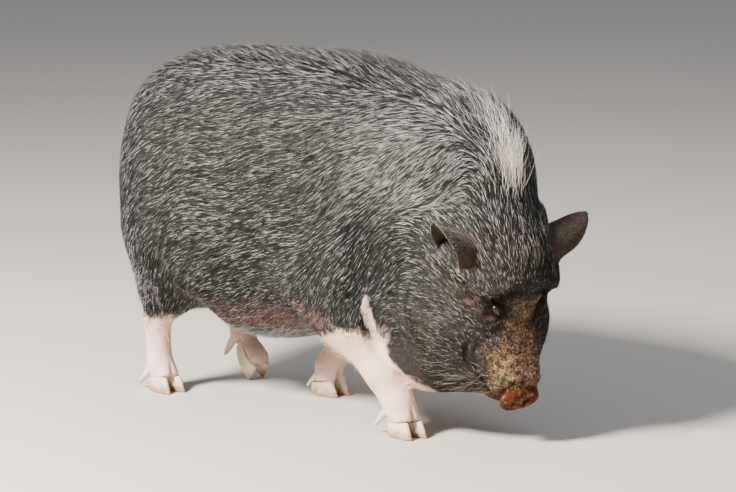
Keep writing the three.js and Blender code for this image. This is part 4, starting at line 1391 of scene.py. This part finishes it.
def horn_material(colours):
    """Pale horn with darker streaks down it, brown worn toes and earth along the sole."""
    material, net, shader = new_material("horn", roughness=0.5)
    place = net.add("TexCoord").outputs["Object"]
    height = net.add("SeparateXYZ", {0: place}).outputs["Z"]
    streak = net.noise(place, 260, 4, 0.6, (1, 1, 0.22))
    blotch = net.noise(place, 90, 3, 0.6)
    pale = net.blend(streak, toned(colours.horn, 0.6), toned(colours.horn, 1.25))
    worn = net.blend(streak, (0.05, 0.03, 0.02), (0.3, 0.18, 0.1))
    ragged = net.calc("MULTIPLY_ADD", net.calc("SUBTRACT", blotch, 0.5), 0.02, height)
    colour = net.blend(net.fade(ragged, 0.019, 0.003, 0.0, 0.75), pale, worn)
    earth = net.blend(blotch, (0.3, 0.13, 0.05), (0.55, 0.3, 0.13))
    colour = net.blend(net.fade(ragged, 0.006, 0.001, 0.0, 0.85), colour, earth)
    net.feed(shader.inputs["Base Color"], colour)
    bump = net.add("Bump", {"Height": streak, "Strength": 0.35, "Distance": 0.0008})
    net.feed(shader.inputs["Normal"], bump.outputs["Normal"])
    return material


# Stage.

FLOOR_HEIGHT = -0.0004  # just under the soles
LIGHT_AIM = (0, 0, 0.3)
CAMERA_AIM = (-0.0399, 0, 0.27)
CAMERA_SHIFT = (0.0761, -0.0217)
LIGHTS = (  # azimuth and elevation in degrees, distance, size, watts, colour
    (-12, 38, 3.2, 0.7, 560, (1.0, 0.95, 0.88)),
    (95, 35, 3.4, 2.4, 16, (0.9, 0.95, 1.0)),
    (200, 60, 3.2, 2.0, 24, (1.0, 1.0, 1.0)),
)


def stood_off(obj, aim, azimuth, elevation, distance):
    """Stands a lamp or camera off from the point it faces, at these degrees round from the right side."""
    a, e = math.radians(azimuth), math.radians(elevation)
    back = Vector((math.sin(a) * math.cos(e), -math.cos(a) * math.cos(e), math.sin(e)))
    obj.location = Vector(aim) + back * distance
    obj.rotation_euler = (-back).to_track_quat("-Z", "Y").to_euler()
    return obj


# Operators.


class PIG_OT_stage(bpy.types.Operator):
    """Adds the floor, soft lights and the camera."""

    bl_idname = "pig.stage"
    bl_label = "Stage"

    def execute(self, context):
        settings = context.scene.pig_stage
        bpy.ops.mesh.primitive_plane_add(size=30, location=(0, 0, FLOOR_HEIGHT))
        floor = context.object
        floor.name = "stage_floor"
        material, _, shader = new_material("pale_floor", roughness=0.85)
        shader.inputs["Base Color"].default_value = (0.5, 0.47, 0.43, 1)
        floor.data.materials.append(material)
        world = bpy.data.worlds.new("studio")
        context.scene.world = world
        world.use_nodes = True
        background = world.node_tree.nodes["Background"]
        background.inputs["Color"].default_value = (0.86, 0.9, 1.0, 1)
        background.inputs["Strength"].default_value = 0.4
        for number, (azimuth, elevation, distance, size, watts, tint) in enumerate(LIGHTS):
            bpy.ops.object.light_add(type="AREA")
            lamp = stood_off(context.object, LIGHT_AIM, azimuth, elevation, distance)
            lamp.name = f"lamp_{number}"
            lamp.data.size, lamp.data.energy, lamp.data.color = size, watts, tint
        bpy.ops.object.camera_add()
        camera = stood_off(
            context.object, CAMERA_AIM, settings.azimuth, settings.elevation, settings.distance
        )
        camera.data.lens, camera.data.sensor_width = settings.lens, 36
        camera.data.shift_x, camera.data.shift_y = CAMERA_SHIFT
        context.scene.camera = camera
        return {"FINISHED"}


class PIG_OT_skin(bpy.types.Operator):
    """Grows one skin over the flesh, and folds the face."""

    bl_idname = "pig.skin"
    bl_label = "Skin"

    def execute(self, context):
        skin = make_skin(context.scene.pig_body)
        skin.data.materials.clear()  # the joins leave an empty one
        skin.data.materials.append(skin_material(context.scene.pig_colours))
        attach(skin, "root")
        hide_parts(*FLESH)
        return {"FINISHED"}


class PIG_OT_eyes(bpy.types.Operator):
    """Puts a wet dark ball behind each pair of lids."""

    bl_idname = "pig.eyes"
    bl_label = "Eyes"

    def execute(self, context):
        material = eye_material()
        for side in SIDES:
            ball = make_eye(side)
            ball.data.materials.append(material)
            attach(ball, "root")
            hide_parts(f"eye_{side}")
        return {"FINISHED"}


class PIG_OT_claws(bpy.types.Operator):
    """Shapes the hooves and dewclaws of every leg."""

    bl_idname = "pig.claws"
    bl_label = "Claws"

    def execute(self, context):
        material = horn_material(context.scene.pig_colours)
        for leg in LEGS:
            claws = make_claws(leg)
            claws.data.materials.append(material)
            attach(claws, "root")
            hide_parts(*[n for n in CLAWS if f"_{leg}_" in n])
        return {"FINISHED"}


class PIG_OT_coat(bpy.types.Operator):
    """Covers the skin in bristles that follow the lie of the coat."""

    bl_idname = "pig.coat"
    bl_label = "Coat"

    def execute(self, context):
        material = coat_material(context.scene.pig_colours)
        for piece in make_coat(bpy.data.objects["skin"], context.scene.pig_coat):
            piece.data.materials.append(material)
            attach(piece, "root")
        return {"FINISHED"}


class PIG_OT_whiskers(bpy.types.Operator):
    """Adds the long hairs of the face, crest, back, belly and tail, and the fine hair of the ears."""

    bl_idname = "pig.whiskers"
    bl_label = "Whiskers and crest"

    def execute(self, context):
        settings = context.scene.pig_coat
        material = bpy.data.materials["bristle"]
        surface = Surface(bpy.data.objects["skin"])
        made = [
            long_hairs(surface, "hair_head", HEAD_HAIRS, settings, 21),
            long_hairs(surface, "hair_body", BODY_HAIRS, settings, 22),
            *[ear_hairs(surface, side, settings) for side in SIDES],
        ]
        for piece in made:
            piece.data.materials.append(material)
            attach(piece, "root")
        return {"FINISHED"}


class PIG_PT_panel(bpy.types.Panel):
    """Lists the steps that build the pig, and their settings."""

    bl_idname = "PIG_PT_panel"
    bl_label = "Pot-bellied pig"
    bl_space_type = "VIEW_3D"
    bl_region_type = "UI"
    bl_category = "Pig"

    def draw(self, context):
        for step in STEPS:
            self.layout.operator(f"pig.{step}")
        for name, kind in SETTINGS.items():
            box = self.layout.box()
            for key in kind.__annotations__:
                box.prop(getattr(context.scene, name), key)


STEPS = ("stage", "skin", "eyes", "claws", "coat", "whiskers")
CLASSES = (
    PigBody, PigCoat, PigColours, PigStage, PIG_OT_stage, PIG_OT_skin, PIG_OT_eyes, PIG_OT_claws, PIG_OT_coat,
    PIG_OT_whiskers, PIG_PT_panel,
)
SETTINGS = {"pig_body": PigBody, "pig_coat": PigCoat, "pig_colours": PigColours, "pig_stage": PigStage}


def register():
    for kind in CLASSES:
        bpy.utils.register_class(kind)
    for name, kind in SETTINGS.items():
        setattr(bpy.types.Scene, name, PointerProperty(type=kind))


def unregister():
    for name in SETTINGS:
        delattr(bpy.types.Scene, name)
    for kind in reversed(CLASSES):
        bpy.utils.unregister_class(kind)


def main():
    register()
    for step in STEPS:
        getattr(bpy.ops.pig, step)()


if __name__ == "__main__":
    main()
